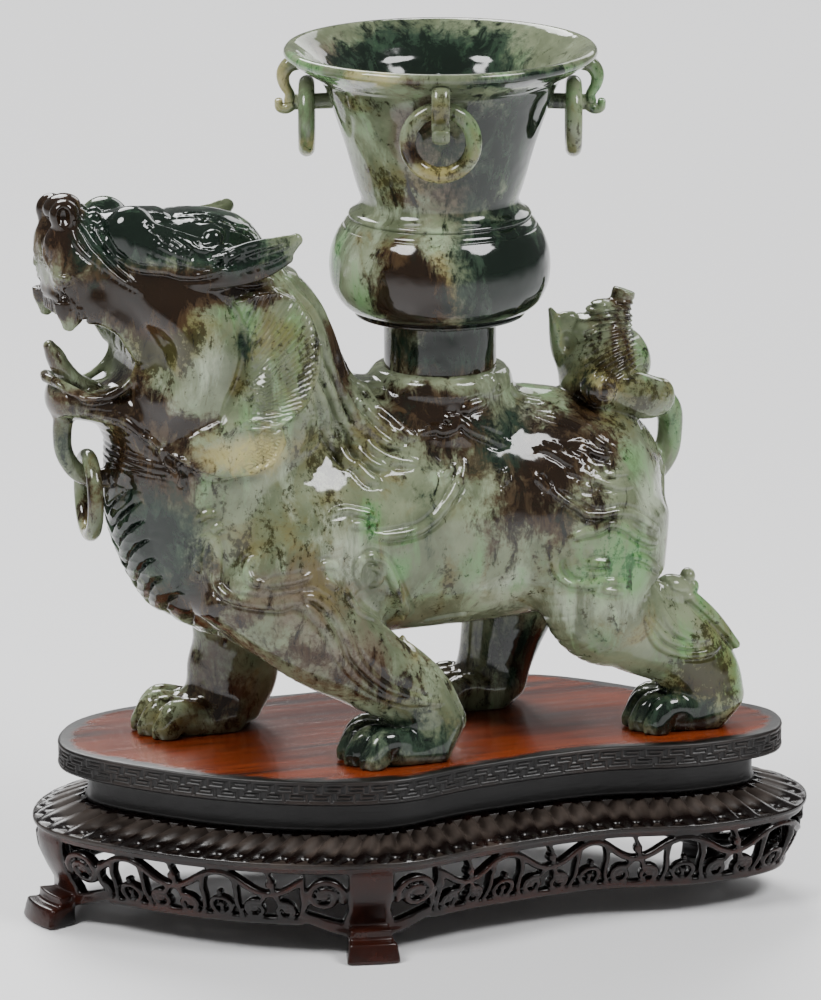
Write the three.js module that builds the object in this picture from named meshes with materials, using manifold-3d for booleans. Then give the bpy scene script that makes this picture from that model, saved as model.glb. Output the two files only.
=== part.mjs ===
// A jade guardian lion that carries a vase on its back, on a carved hardwood stand.
// Millimetres, +Z up. The lion faces -X and its left flank faces -Y.
// The origin is under the middle of the whole work, on the surface that the stand's feet rest on.

import * as THREE from 'three';
import { mergeVertices } from 'three/addons/utils/BufferGeometryUtils.js';
import Module from 'manifold-3d';

const wasm = await Module();
wasm.setup();

// Heights of the stand, from the floor up
const FOOT_TOP = 14;
const APRON_LOW = 9;
const LIP = 31.5;
const MOULDING_TOP = 37;
const WAIST_TOP = 48;
const BOARD_TOP = 56;

// Plan of the stand: how far each edge stands outside the board's outline
const WAIST_INSET = 9.5;
const LIP_OUT = 8;
const APRON_WALL = 6;
const FLUTE_COUNT = 48;
const FLUTE_DEPTH = 1.6;
const VINE_LOOPS = 24;
const FOOT_WIDTH = 13;
const FOOT_OUT = 12;
const SEAM = 0.3;

// The vase, on its own axis
const VASE_X = 5.3;
const VASE_TOP = 277;
const RIM_RADIUS = 49;
const NECK_RADIUS = 24.5;
const BULB_RADIUS = 34.4;
const STEM_RADIUS = 17;
const STEM_FOOT = 168.3;
const WALL = 3.6;
const HANDLE_TURN = -20;
const BAR_Z = 259.7;
const BAR_RADIUS = 2.6;
const RING_AT = 41.6;
const RING_RADIUS = 10.15;
const RING_THICK = 2.6;

// The lion
const MID_Y = -3.5;
const SOCKET_RADIUS = 22.6;
const SOCKET_TOP = 176;
const CHIN_RING_RADIUS = 12;
const CHIN_RING_X = -110.8;
const CHIN_RING_Z = 142.9;

const vec = (x, y, z) => new THREE.Vector3(x, y, z);
const UP = vec(0, 0, 1);
const ACROSS = vec(0, 1, 0);

// Joins rings of points, each with the same count, into one closed skin.
// A looped skin's last ring meets its first; otherwise a fan from its middle closes each end.
function skin(rings, looped = false) {
  const sides = rings[0].length;
  const points = rings.flat();
  const index = [];
  const rows = looped ? rings.length : rings.length - 1;
  for (let row = 0; row < rows; row += 1) {
    const next = (row + 1) % rings.length;
    for (let side = 0; side < sides; side += 1) {
      const a = row * sides + side;
      const b = row * sides + (side + 1) % sides;
      const c = next * sides + (side + 1) % sides;
      const d = next * sides + side;
      index.push(a, b, c, a, c, d);
    }
  }
  if (!looped) {
    for (const end of [0, rings.length - 1]) {
      const middle = rings[end].reduce((sum, p) => sum.add(p), vec(0, 0, 0)).divideScalar(sides);
      const hub = points.push(middle) - 1;
      for (let side = 0; side < sides; side += 1) {
        const a = end * sides + side;
        const b = end * sides + (side + 1) % sides;
        index.push(...(end === 0 ? [hub, b, a] : [hub, a, b]));
      }
    }
  }
  const geometry = new THREE.BufferGeometry().setFromPoints(points);
  geometry.setIndex(index);
  return solid(geometry);
}

// Turns a closed three.js geometry into a solid that can be joined and cut.
function solid(geometry) {
  const bare = geometry.clone();
  bare.deleteAttribute('normal');
  bare.deleteAttribute('uv');
  const merged = mergeVertices(bare, 1e-4);
  return new wasm.Manifold(new wasm.Mesh({
    numProp: 3,
    vertProperties: new Float32Array(merged.attributes.position.array),
    triVerts: new Uint32Array(merged.index.array),
  }));
}

// Turns a solid back into a three.js geometry.
function geometryOf(shape) {
  const mesh = shape.getMesh();
  const geometry = new THREE.BufferGeometry();
  geometry.setAttribute('position', new THREE.BufferAttribute(new Float32Array(mesh.vertProperties), 3));
  geometry.setIndex(new THREE.BufferAttribute(new Uint32Array(mesh.triVerts), 1));
  geometry.computeVertexNormals();
  return geometry;
}

const join = (...shapes) => shapes.flat(2).reduce((whole, shape) => whole.add(shape));

// One oval ring of points round `centre`, across the direction `along`.
function oval(centre, along, side, halfSide, halfUp, sides) {
  const across = side.clone().addScaledVector(along, -side.dot(along)).normalize();
  const up = along.clone().cross(across);
  return Array.from({ length: sides }, (_, k) => {
    const angle = 2 * Math.PI * (k + 0.5) / sides;
    return centre.clone()
      .addScaledVector(across, halfSide * Math.cos(angle))
      .addScaledVector(up, halfUp * Math.sin(angle));
  });
}

// A rounded body along a smooth path. Each station is [x, y, z, half width, half depth]:
// the width lies along `side` and the depth across both the path and `side`.
function limb(stations, { sides = 8, steps = 1, side = ACROSS, dome = 0.5 } = {}) {
  const smooth = points => new THREE.CatmullRomCurve3(points, false, 'catmullrom', 0.5);
  const path = smooth(stations.map(([x, y, z]) => vec(x, y, z)));
  const sizes = smooth(stations.map(([, , , width, depth]) => vec(width, depth, 0)));
  const count = (stations.length - 1) * steps;
  const rings = [];
  for (let i = 0; i <= count; i += 1) {
    const at = i / count;
    const size = sizes.getPoint(at);
    rings.push(oval(path.getPoint(at), path.getTangent(at), side, size.x, size.y, sides));
  }
  for (const end of dome > 0 ? [0, 1] : []) {
    const size = sizes.getPoint(end);
    const along = path.getTangent(end);
    const reach = dome * Math.min(size.x, size.y) * (end ? 1 : -1);
    const centre = path.getPoint(end).addScaledVector(along, reach);
    const cap = oval(centre, along, side, 0.6 * size.x, 0.6 * size.y, sides);
    rings[end ? 'push' : 'unshift'](cap);
  }
  return skin(rings);
}

// A thin raised line of round section, thick in its middle and fine at both ends.
function strand(points, radius, tip = 0.45) {
  const last = points.length - 1;
  const stations = points.map(([x, y, z], i) => {
    const size = radius * (tip + (1 - tip) * Math.sin(Math.PI * Math.min(1, (i + 0.35) / (last + 0.7))));
    return [x, y, z, size, size];
  });
  return limb(stations, { sides: 4, side: vec(0.2, 0.3, 0.93), dome: 0.4 });
}

// A smooth egg with its own half sizes along X, Y and Z.
function egg(x, y, z, rx, ry, rz, detail = 8) {
  const geometry = new THREE.SphereGeometry(1, detail, Math.round(detail * 0.7));
  return solid(geometry.scale(rx, ry, rz).translate(x, y, z));
}

// The board's outline, a rounded slab drawn in where its front runs hollow.
const OUTLINE = new THREE.CatmullRomCurve3([
  [-114, 16], [-92, -18], [-60, -43], [-28, -53], [5, -46], [45, -42.5], [78, -48], [106, -41],
  [113, -20], [90, 10], [56, 45], [20, 50], [-30, 50], [-80, 54], [-104, 42],
].map(([x, y]) => vec(x, y, 0)), true, 'centripetal');
const ROUND = OUTLINE.getLength();

// The directions along and out of the outline at u, which goes from 0 to 1 once round.
function edgeFrame(u) {
  const at = ((u % 1) + 1) % 1;
  const along = OUTLINE.getTangentAt(at);
  return { foot: OUTLINE.getPointAt(at), along, out: vec(along.y, -along.x, 0) };
}

// The point of the outline at u, moved out by `out` and lifted to z.
function edge(u, out, z) {
  const frame = edgeFrame(u);
  return frame.foot.clone().addScaledVector(frame.out, out).setZ(z);
}

// A slab built up of copies of the outline, each level given as [out, z].
function outlineSlab(levels, samples = 40) {
  return skin(levels.map(([out, z]) => Array.from({ length: samples }, (_, k) => edge(k / samples, out, z))));
}

// The board that the lion stands on, with its plain waist below.
function standTop() {
  return outlineSlab([
    [-WAIST_INSET + 1, MOULDING_TOP + SEAM], [-WAIST_INSET, WAIST_TOP - 0.4],
    [-0.8, WAIST_TOP], [0, WAIST_TOP + 0.8], [0, BOARD_TOP - 0.8], [-1, BOARD_TOP],
  ]);
}

// The block of the base: a wall under a moulding whose slope is cut into slanted flutes, crests and valleys
// by turns, and the flat top inside them that carries the board.
function fluted() {
  const samples = 2 * FLUTE_COUNT;
  const lean = 0.8 / FLUTE_COUNT;
  const levels = [
    [0.5, APRON_LOW, 0, 0], [LIP_OUT - 1, LIP - 1.5, 0, 0], [LIP_OUT, LIP + 0.8, FLUTE_DEPTH, 0],
    [-WAIST_INSET + 3, MOULDING_TOP - 0.5, FLUTE_DEPTH, lean], [-WAIST_INSET, MOULDING_TOP, 0, lean],
  ];
  return skin(levels.map(([out, z, cut, shift]) => Array.from(
    { length: samples },
    (_, k) => edge(k / samples + shift, out - 0.4 * cut * (k % 2), z - cut * (k % 2)),
  )));
}

// A leaf-shaped hole through the apron at u and height z, tilted by `tilt`.
function piercing(u, z, halfLength, halfHeight, tilt) {
  const frame = edgeFrame(u);
  const corners = [[1, 0.1], [0.45, 1], [-0.5, 0.9], [-1, -0.1], [-0.45, -1], [0.5, -0.9]];
  const rings = [-14, 16].map(out => corners.map(([a, b]) => {
    const along = a * halfLength * Math.cos(tilt) - b * halfHeight * Math.sin(tilt);
    const rise = a * halfLength * Math.sin(tilt) + b * halfHeight * Math.cos(tilt);
    return frame.foot.clone()
      .addScaledVector(frame.out, out)
      .addScaledVector(frame.along, along)
      .setZ(z + rise);
  }));
  return skin(rings);
}

// Where the feet stand, as places along the outline.
const FEET = [[-113, 15], [-36, -52], [97, 2], [-20, 50]].map(([x, y]) => {
  const samples = 400;
  const places = Array.from({ length: samples }, (_, k) => k / samples);
  const distance = u => edge(u, 0, 0).distanceTo(vec(x, y, 0));
  return places.reduce((best, u) => (distance(u) < distance(best) ? u : best));
});

// A block foot that turns outward at its flat sole.
function foot(u) {
  const levels = [[0, -1, FOOT_OUT], [7, -1, FOOT_OUT - 0.6], [9, -3, 7], [FOOT_TOP, -4, 3]];
  const frame = edgeFrame(u);
  return skin(levels.map(([z, inner, outer]) => [[1, inner], [1, outer], [-1, outer], [-1, inner]].map(
    ([end, out]) => frame.foot.clone()
      .addScaledVector(frame.out, out)
      .addScaledVector(frame.along, end * FOOT_WIDTH / 2)
      .setZ(z),
  )).map(ring => ring.reverse()));
}

// The stand's base: fluted moulding, a wall pierced by a running vine, and four feet.
function standBase() {
  const hollow = outlineSlab([
    [0.5 - APRON_WALL, APRON_LOW - 2], [-1, 30],
  ], 36);
  const clearOfFeet = u => FEET.every(at => {
    const apart = Math.abs(at - u) % 1;
    return Math.min(apart, 1 - apart) * ROUND > FOOT_WIDTH;
  });
  const holes = [];
  for (let loop = 0; loop < VINE_LOOPS; loop += 1) {
    const u = (loop + 0.5) / VINE_LOOPS;
    const high = loop % 2 === 0;
    if (clearOfFeet(u)) {
      holes.push(piercing(u, high ? 24 : 16, 10.5, 3.8, high ? -0.2 : 0.2));
    }
  }
  const feet = FEET.map(foot);
  return fluted().subtract(hollow).subtract(join(holes)).add(join(feet));
}

// The vase as a turned profile, outside from the stem up and inside from the lip down.
function vaseBody() {
  const profile = [
    [0, STEM_FOOT], [STEM_RADIUS, STEM_FOOT], [STEM_RADIUS, 191], [27, 192], [27.6, 194.5], [32, 199],
    [BULB_RADIUS, 208], [32.3, 217], [29, 222.5], [29, 225.5], [NECK_RADIUS, 227.5], [33, 256],
    [37, 266.5], [45, 272], [RIM_RADIUS, VASE_TOP - 2.5], [RIM_RADIUS - 1, VASE_TOP],
    [RIM_RADIUS - 4, VASE_TOP - 1.5], [37 - WALL, 267], [NECK_RADIUS - WALL, 227], [27, 218],
    [BULB_RADIUS - 4.5, 208], [24, 198.5], [0, 196.5],
  ];
  const points = profile.map(([radius, z]) => new THREE.Vector2(radius, z));
  const turned = new THREE.LatheGeometry(points, 22);
  return solid(turned.rotateX(Math.PI / 2));
}

// One loop handle in the plane of +X and Z: a strap hung from the lip, a knob and a bar back to the neck.
function handle() {
  const strap = limb([
    [46, 0, 273.5, 3, 2.4], [49, 0, 269, 3, 2.2], [47.6, 0, 264, 3, 2.2], [48.6, 0, BAR_Z, 3.2, 3],
  ], { sides: 5, dome: 0.8 });
  const bar = limb([
    [33.4, 0, BAR_Z, BAR_RADIUS, BAR_RADIUS], [49, 0, BAR_Z, BAR_RADIUS, BAR_RADIUS],
  ], { sides: 6, dome: 0 });
  return join(strap, bar);
}

const HANDLE_ANGLES = { front: -90, right: 0, back: 90, left: 180 };

// Puts a shape made in the plane of +X and Z at its handle's angle on the vase's axis.
const atHandle = (shape, angle) => shape.rotate([0, 0, angle + HANDLE_TURN]).translate([VASE_X, MID_Y, 0]);

function vase() {
  const body = vaseBody().translate([VASE_X, MID_Y, 0]);
  return join(body, Object.values(HANDLE_ANGLES).map(angle => atHandle(handle(), angle)));
}

// A loose ring that hangs on its handle's bar.
function vaseRing(angle) {
  const torus = new THREE.TorusGeometry(RING_RADIUS, RING_THICK, 5, 12);
  const hang = BAR_Z + BAR_RADIUS + SEAM - (RING_RADIUS - RING_THICK);
  torus.rotateX(Math.PI / 2).rotateZ(Math.PI / 2).translate(RING_AT, 0, hang);
  return atHandle(solid(torus), angle);
}

// The ring in the loop under the chin.
function chinRing() {
  const torus = new THREE.TorusGeometry(CHIN_RING_RADIUS, RING_THICK, 5, 12);
  torus.rotateX(Math.PI / 2).rotateZ(Math.PI / 2 - 0.12).translate(CHIN_RING_X, MID_Y, CHIN_RING_Z);
  return solid(torus);
}

// The lion's parts below use its own middle plane as y = 0.

function torso() {
  return limb([
    [-86, 0, 125, 18, 22], [-68, 0, 124, 29, 36], [-40, 0, 126, 33, 39], [-4, 0, 129, 32, 38],
    [28, 0, 132, 33, 38.5], [55, 0, 129, 34, 36], [72, 0, 125, 29, 29], [80, 0, 122, 17, 17],
  ], { sides: 12 });
}

function neck() {
  return limb([
    [-60, 0, 102, 22, 18], [-70, 0, 126, 29, 28], [-72, 0, 150, 31, 33], [-66, 0, 174, 31, 36],
    [-66, 0, 194, 29, 32], [-68, 0, 208, 24, 25],
  ], { sides: 12 });
}

function head() {
  const skull = limb([
    [-54, 0, 204, 19, 14], [-66, 0, 206, 26, 24], [-84, 0, 209, 27, 25], [-100, 0, 215, 23, 20],
    [-113, 0, 220, 18, 16], [-124, 0, 220, 15, 14],
  ], { sides: 10, dome: 0.15 });
  const jaw = limb([
    [-72, 0, 171, 25, 21], [-86, 0, 167, 23, 16], [-97, 0, 168, 20, 11], [-109, 0, 171, 16, 7],
    [-123, 0, 175, 11, 5.5],
  ]);
  const tongue = limb([[-113, 0, 173, 6, 3], [-119, 0, 181, 6, 3], [-123.5, 0, 190, 3, 1.6]], { sides: 6 });
  const throat = solid(new THREE.CylinderGeometry(12, 12, 90, 12).translate(-108.5, 0, 188.5));
  const gape = skin([-45, 45].map(y => [
    vec(-140, y, 182), vec(-108, y, 178), vec(-108, y, 200), vec(-140, y, 203),
  ].reverse()));
  const open = join(skull, jaw).subtract(throat).subtract(gape);
  const pairs = [-1, 1].map(side => [
    egg(-84, side * 16, 188, 19, 15, 24),
    limb([
      [-104, side * 13, 229, 8, 8], [-94, side * 17, 230, 8, 8.5], [-80, side * 20, 227, 5, 5.5],
    ], { sides: 6 }),
    egg(-121.5, side * 6.5, 233, 5.5, 5.5, 6.5, 5),
    limb([[-113, side * 11, 206, 4.5, 5], [-115, side * 11.5, 197.5, 1.5, 1.5]], { sides: 5 }),
    limb([[-86, side * 22, 213, 4, 3], [-76, side * 28, 219, 4, 6.5], [-62, side * 31, 220, 3, 6.5],
      [-53, side * 33, 228, 1.2, 1.2]], { sides: 6 }),
  ]);
  return join(open, tongue, egg(-105, 0, 233, 8, 6, 5), pairs);
}

// The fan of locks behind each cheek: one band bent round the cheek, swelling at each lock.
function ruff(side) {
  const locks = 6;
  const stations = 2 * locks + 1;
  return limb(Array.from({ length: stations }, (_, k) => {
    const angle = 1.15 - k * 3.15 / (stations - 1);
    const swell = k % 2 ? 1 : 0;
    const reach = 22 + 1.5 * swell;
    return [
      -80 + reach * Math.cos(angle), side * (25 + swell), 181 + 0.86 * reach * Math.sin(angle),
      6 + 1.5 * swell, 11 + 2 * swell,
    ];
  }), { sides: 6 });
}

// The folds across the throat and chest, from the chin down to between the forelegs.
function chestFolds() {
  const folds = 6;
  return Array.from({ length: folds }, (_, k) => {
    const at = k / (folds - 1);
    const z = 163 - 58 * at;
    const front = -101.5 + 26 * at * at * at - 3.5 * Math.sin(Math.PI * at);
    const width = 22 - 6 * at;
    return limb([-1, -0.5, 0, 0.5, 1].map(y => [
      front + 15 * y * y, width * y, z + 7 * y * y, 2.8, 2.8,
    ]), { sides: 4, side: UP });
  });
}

// One leg and its paw. Stations run from the shoulder or haunch down to the ankle, then on to the instep.
// The toes are one roll across the paw's front, swelling at each toe.
function leg(stations, toe, y) {
  const toes = 4;
  const roll = Array.from({ length: 2 * toes + 1 }, (_, k) => {
    const across = k / toes - 1;
    const swell = k % 2 ? 1.6 : 0;
    const bend = 4 * across * across;
    return [toe + 8.5 + bend - swell, y + 11 * across, 62.5 - 0.5 * bend, 6 + swell, 6 + swell];
  });
  return join(limb([...stations, [toe + 14, y, 62, 12.5, 9]]), limb(roll, { sides: 6, side: UP }));
}

function legs() {
  return [
    leg([[-58, -21, 124, 15, 31], [-49, -26, 103, 14, 24], [-31, -27, 88, 12.5, 17], [-13, -26.5, 76, 11, 12],
      [-9, -26.5, 63, 11, 12]], -37, -26.5),
    leg([[-70, 20, 122, 14, 28], [-68, 24, 102, 13, 20], [-60, 26.5, 86, 12, 15.5], [-57, 27.5, 72, 11, 13.5],
      [-61, 27.5, 63, 11, 12]], -90, 27.5),
    leg([[50, -20, 126, 15, 34], [56, -23, 104, 15, 25], [70, -23.5, 91, 12, 16], [85, -23.5, 77, 10, 12.5],
      [87, -23.5, 63, 11, 12]], 59, -23.5),
    leg([[48, 20, 124, 14, 32], [43, 22, 102, 13.5, 23], [37, 22.5, 86, 11, 15.5], [33, 22.5, 72, 10, 12.5],
      [31, 22.5, 63, 11, 12]], 6, 22.5),
  ];
}

// The socket on the back that the vase's stem stands in.
function socket() {
  const steps = 16;
  const rim = [[19, 150], [SOCKET_RADIUS + 3, 160], [SOCKET_RADIUS, 168], [SOCKET_RADIUS, SOCKET_TOP - 1],
    [SOCKET_RADIUS - 1.5, SOCKET_TOP]];
  return skin(rim.map(([radius, z]) => Array.from({ length: steps }, (_, k) => {
    const angle = 2 * Math.PI * k / steps;
    const wave = radius * (1 + 0.035 * Math.cos(4 * angle + 0.6));
    return vec(VASE_X + wave * Math.cos(angle), wave * Math.sin(angle), z);
  })));
}

// The tail: a stem that curls up from the rump into a wound plume with a broken tip.
function tail() {
  const stem = limb([
    [76, 0, 134, 5, 5], [84, 0, 142, 5, 5], [84.5, 0, 152, 4.6, 4.6], [79, 0, 161, 5, 5], [70, 0, 166, 7, 6],
  ], { sides: 6 });
  const coils = 4;
  const plume = limb(Array.from({ length: 2 * coils + 1 }, (_, k) => {
    const at = k / (2 * coils);
    const radius = 15 - 9 * at + (k % 2 ? 1 : -1);
    return [58.5 + 8 * at, 0, 160 + 29 * at, radius - 1.5, radius];
  }));
  const stub = limb([[67, 0, 186, 4.2, 4.2], [68.4, 0, 195, 4, 4]], { sides: 6, dome: 0 });
  const leaf = limb([[53, 2, 166, 7, 5], [46, 3, 178, 6, 3.5], [42, 3, 189, 1.2, 1.2]], { sides: 6 });
  const curl = limb([[56, -2, 166, 8, 8], [55, -13, 166, 7, 7]], { sides: 7, side: UP, dome: 0.4 });
  const fan = limb([
    [62, -5, 168, 7, 8], [72, -7, 168, 7, 9], [80, -5, 163, 5, 7], [84, -3, 157, 4, 4],
  ], { sides: 6 });
  return [stem, plume, stub, leaf, curl, fan];
}

// The loop under the chin that holds a ring, joined to the chest.
function chinLoop() {
  return limb([
    [-119, 0, 172, 3.4, 3.4], [-122, 0, 160, 3.2, 3.2], [-118, 0, 151, 3, 3], [-111, 0, 148.6, 3, 2.8],
    [-101, 0, 149, 3, 3],
  ], { sides: 6 });
}

// Lines of carving on the flanks, as [x, z] from the side. They are laid on whatever body is under them.
const FLANK_LINES = [
  [[-82, 131], [-77, 116], [-58, 111], [-42, 98], [-28, 82], [-10, 75]],
  [[-34, 114], [-27, 121], [-21, 114], [-14, 98]],
  [[10, 150], [26, 153], [42, 146], [60, 142]],
  [[33, 146], [36, 136], [50, 131], [72, 120]],
  [[-69, 125], [-58, 137], [-42, 139], [-28, 134]],
  [[-24, 152], [-12, 159], [1, 140]],
];
// The first few of them are repeated on the far side, which is left plainer.
const FAR_LINES = 3;
// The far legs stand this far ahead of the near ones, so the lines there lean forward below the back.
const FAR_LEAD = 45;

// Lays the flank lines on a finished body and gives them back as raised strands.
function flankLines(body) {
  const skinMesh = new THREE.Mesh(geometryOf(body), new THREE.MeshBasicMaterial({ side: THREE.DoubleSide }));
  const caster = new THREE.Raycaster();
  const lay = (x, z, side) => {
    const lead = side > 0 ? FAR_LEAD * THREE.MathUtils.clamp((140 - z) / 70, 0, 1) : 0;
    caster.set(vec(x - lead, side * 90, z), vec(0, -side, 0));
    const hit = caster.intersectObject(skinMesh)[0];
    return [x - lead, hit ? hit.point.y : side * 25, z];
  };
  const linesOn = side => FLANK_LINES.slice(0, side > 0 ? FAR_LINES : FLANK_LINES.length);
  return [-1, 1].flatMap(side => linesOn(side).map(
    line => strand(line.map(([x, z]) => lay(x, z, side)), 2.3),
  ));
}

// The fin and fringe of hair on the back of a hind leg's hock.
function hockHair(ahead, y) {
  return [
    strand([[70, y, 104], [78, y, 107], [84, y, 101], [91, y, 92], [97, y, 82]].map(
      ([x, v, z]) => [x - ahead, v, z]), 3.2),
    strand([[64, y - 9, 90], [70, y - 10, 84], [78, y - 10, 80], [88, y - 9, 82]].map(
      ([x, v, z]) => [x - ahead, v, z]), 2.4),
  ];
}

function lion() {
  const body = join(torso(), neck(), head(), legs(), socket());
  const hair = [ruff(-1), ruff(1), ...chestFolds(), ...flankLines(body), ...hockHair(0, -23.5)];
  const whole = join(body, hair, tail(), chinLoop());
  const stemHole = solid(new THREE.CylinderGeometry(STEM_RADIUS + SEAM, STEM_RADIUS + SEAM, 40, 26)
    .rotateX(Math.PI / 2).translate(VASE_X, 0, STEM_FOOT - SEAM + 20));
  const ground = solid(new THREE.BoxGeometry(400, 200, 80).translate(0, 0, BOARD_TOP + SEAM - 40));
  return whole.subtract(stemHole).subtract(ground).translate([0, MID_Y, 0]);
}

// Colours of the jade and the wood, each with its gloss.
const jade = (colour, roughness = 0.2) => new THREE.MeshStandardMaterial({ color: colour, roughness });
const FINISHES = {
  lion: jade(0x7d8f74),
  vase: jade(0x73856f),
  ring: jade(0x8fa07c),
  board: new THREE.MeshStandardMaterial({ color: 0x6b2f16, roughness: 0.3 }),
  base: new THREE.MeshStandardMaterial({ color: 0x1c1210, roughness: 0.35 }),
};

const pieces = [
  ['lion', lion(), FINISHES.lion],
  ['vase', vase(), FINISHES.vase],
  ...Object.entries(HANDLE_ANGLES).map(
    ([name, angle]) => [`vase_ring_${name}`, vaseRing(angle), FINISHES.ring],
  ),
  ['chin_ring', chinRing(), FINISHES.ring],
  ['stand_top', standTop(), FINISHES.board],
  ['stand_base', standBase(), FINISHES.base],
];

// The named pieces, moved so that the middle of the whole work is over the origin.
const work = new THREE.Group();
for (const [name, shape, material] of pieces) {
  const mesh = new THREE.Mesh(geometryOf(shape), material);
  mesh.name = name;
  work.add(mesh);
}
const extent = new THREE.Box3().setFromObject(work);
const centre = extent.getCenter(vec(0, 0, 0));
work.position.set(-centre.x, -centre.y, -extent.min.z);
work.updateMatrixWorld(true);

export default work;
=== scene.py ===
"""A carved jade lion with a loose-ring vase on its back, standing on a pierced hardwood stand.

The lion is modelled as a carver would work it. A field of distances in millimetres, negative inside
the stone, is built up from rounded masses and limbs, opened with cuts, and finished with raised and
incised lines. Its zero surface becomes the mesh. The vase, rings and stand are profiles carried round
an axis, a path or the stand's outline.

Lengths are in millimetres until a mesh is made. The lion's own mid-plane is y = 0, it faces -X, and
its near side is -Y.
"""

import math
from collections import namedtuple
from concurrent.futures import ThreadPoolExecutor

import bpy
import numpy as np
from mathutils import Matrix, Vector


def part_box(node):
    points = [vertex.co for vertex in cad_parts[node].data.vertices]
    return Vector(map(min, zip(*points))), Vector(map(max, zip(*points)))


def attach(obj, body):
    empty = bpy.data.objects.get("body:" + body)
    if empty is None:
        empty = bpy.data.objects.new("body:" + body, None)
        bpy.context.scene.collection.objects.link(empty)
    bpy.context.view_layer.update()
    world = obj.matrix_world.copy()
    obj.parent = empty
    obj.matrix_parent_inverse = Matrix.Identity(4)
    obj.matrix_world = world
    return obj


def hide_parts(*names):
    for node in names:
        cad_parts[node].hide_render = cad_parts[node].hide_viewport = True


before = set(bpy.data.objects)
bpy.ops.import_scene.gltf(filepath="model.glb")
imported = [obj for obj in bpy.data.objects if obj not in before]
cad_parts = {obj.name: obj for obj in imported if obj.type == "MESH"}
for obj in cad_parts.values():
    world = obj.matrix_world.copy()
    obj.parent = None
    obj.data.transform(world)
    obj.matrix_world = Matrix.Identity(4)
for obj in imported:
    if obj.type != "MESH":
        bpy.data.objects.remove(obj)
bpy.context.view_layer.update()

MM = 0.001
FAR = 30.0      # a field's value where nothing has been carved yet
WORKERS = 4
CHUNK = 8192    # points worked out in one go

# How fine the meshes are
LION_PITCH = 0.55
LION_TRIANGLES = 195000
BASE_CELLS = 880
BASE_TRIANGLES = 190000
OUTLINE_STEPS = 1500
BOARD_COLUMNS = 2200
VASE_COLUMNS = 288

# The lion, in its own frame
SOCKET_X = 5.3          # the vase's axis
SOLE = 56.3             # height of the paws' soles
FAR_DROP = 2.4          # how much lower the far brow and ear sit, because the head is tilted
BORE = (-112.4, 189.0)  # x and z of the bore through the mouth
BORE_RADIUS = 11.4
RUFF_FOCUS = (-85.0, 170.0)  # x and z of the place that the ruff's strands fan out from
RIB_PITCH = 6.2         # rise from one roll of the breast's skin to the next
RIB_LEAN = 0.75         # how much a roll rises for each millimetre away from the keel

# The vase and its rings. A handle's angle is counted round the vase's axis from +X
HANDLE_TURN = -20.0
HANDLES = {"front": HANDLE_TURN - 90, "right": HANDLE_TURN, "back": HANDLE_TURN + 90,
           "left": HANDLE_TURN + 180}
BAR_Z = 259.7           # the bar that a ring hangs on
RING_AT = 41.6          # from the vase's axis to a ring's middle
RING_CENTRE_Z = 254.75
RING_RADIUS = 10.15
RING_THICK = 2.6
CHIN_RING_THICK = 2.5
CHIN_RING_TURN = -6.9

# The stand
STAND_AT = np.array([3.1893, 1.2869])   # what the row's frame adds to the outline's own places
BOARD_TOP = 56.0
FRET_LOW = 49.2         # foot of the fret's lower row
FRET_ROW = 2.9          # height of a row
FRET_PITCH = 7.4        # length of one key
PETALS = 83
VINE_LOOPS = 18
FOOT_REACH = 21.0       # how far a foot's own carving goes to each side along the apron
APRON_Z = (3, 6, 9, 12, 17, 22, 27, 30)
APRON_OUT = (4.2, 2.6, 1.4, 1.9, 4.6, 6.8, 7.6, 7.0)

# The view and the light. A softbox is (azimuth, elevation, distance, width, watts)
CAMERA_TARGET = (-8.8, -22.7, 137.5)
CAMERA_AZIMUTH = -20.0
CAMERA_ELEVATION = 14.5
CAMERA_DISTANCE = 2200.0
CAMERA_LENS = 253.4
SOFTBOXES = {
    "left_box": (-74, 50, 1500, 600, 20.5),
    "right_box": (40, 50, 1500, 600, 18.5),
    "back_box": (175, 42, 4200, 2400, 185),
    "far_box": (138, 25, 2100, 900, 7),
}
SURROUND_GREY = 0.93
SURROUND_STRENGTH = 0.22
FLOOR_REACH = 8000

vase_low, vase_high = (np.array(corner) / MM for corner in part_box("vase"))
VASE_AXIS = (vase_low + vase_high) / 2
LION_AT = VASE_AXIS * (1, 1, 0) - (SOCKET_X, 0, 0)


def spline(points, steps):
    """Catmull-Rom curve: each span is the cubic that leaves a point along the line that joins its
    two neighbours. Returns the points and `steps` places in each span, with every column carried."""
    p = np.asarray(points, float)
    p = np.vstack([2 * p[0] - p[1], p, 2 * p[-1] - p[-2]])
    t = np.linspace(0, 1, steps, endpoint=False)[None, :, None]
    a, b, c, d = (p[i:len(p) - 3 + i][:, None] for i in range(4))
    spans = 0.5 * (2 * b + (c - a) * t + (2 * a - 5 * b + 4 * c - d) * t**2 + (3 * b - a - 3 * c + d) * t**3)
    return np.vstack([spans.reshape(-1, p.shape[1]), p[-2]])


def unit(vectors):
    """Vectors divided by their lengths."""
    return vectors / np.maximum(np.linalg.norm(vectors, axis=-1, keepdims=True), 1e-9)


def turned(about_x=0, about_y=0, about_z=0):
    """Rotation matrix for turns in degrees about X, then Y, then Z."""
    a, b, c = (math.radians(v) for v in (about_x, about_y, about_z))
    x = np.array([[1, 0, 0], [0, math.cos(a), -math.sin(a)], [0, math.sin(a), math.cos(a)]])
    y = np.array([[math.cos(b), 0, math.sin(b)], [0, 1, 0], [-math.sin(b), 0, math.cos(b)]])
    z = np.array([[math.cos(c), -math.sin(c), 0], [math.sin(c), math.cos(c), 0], [0, 0, 1]])
    return z @ y @ x


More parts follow.
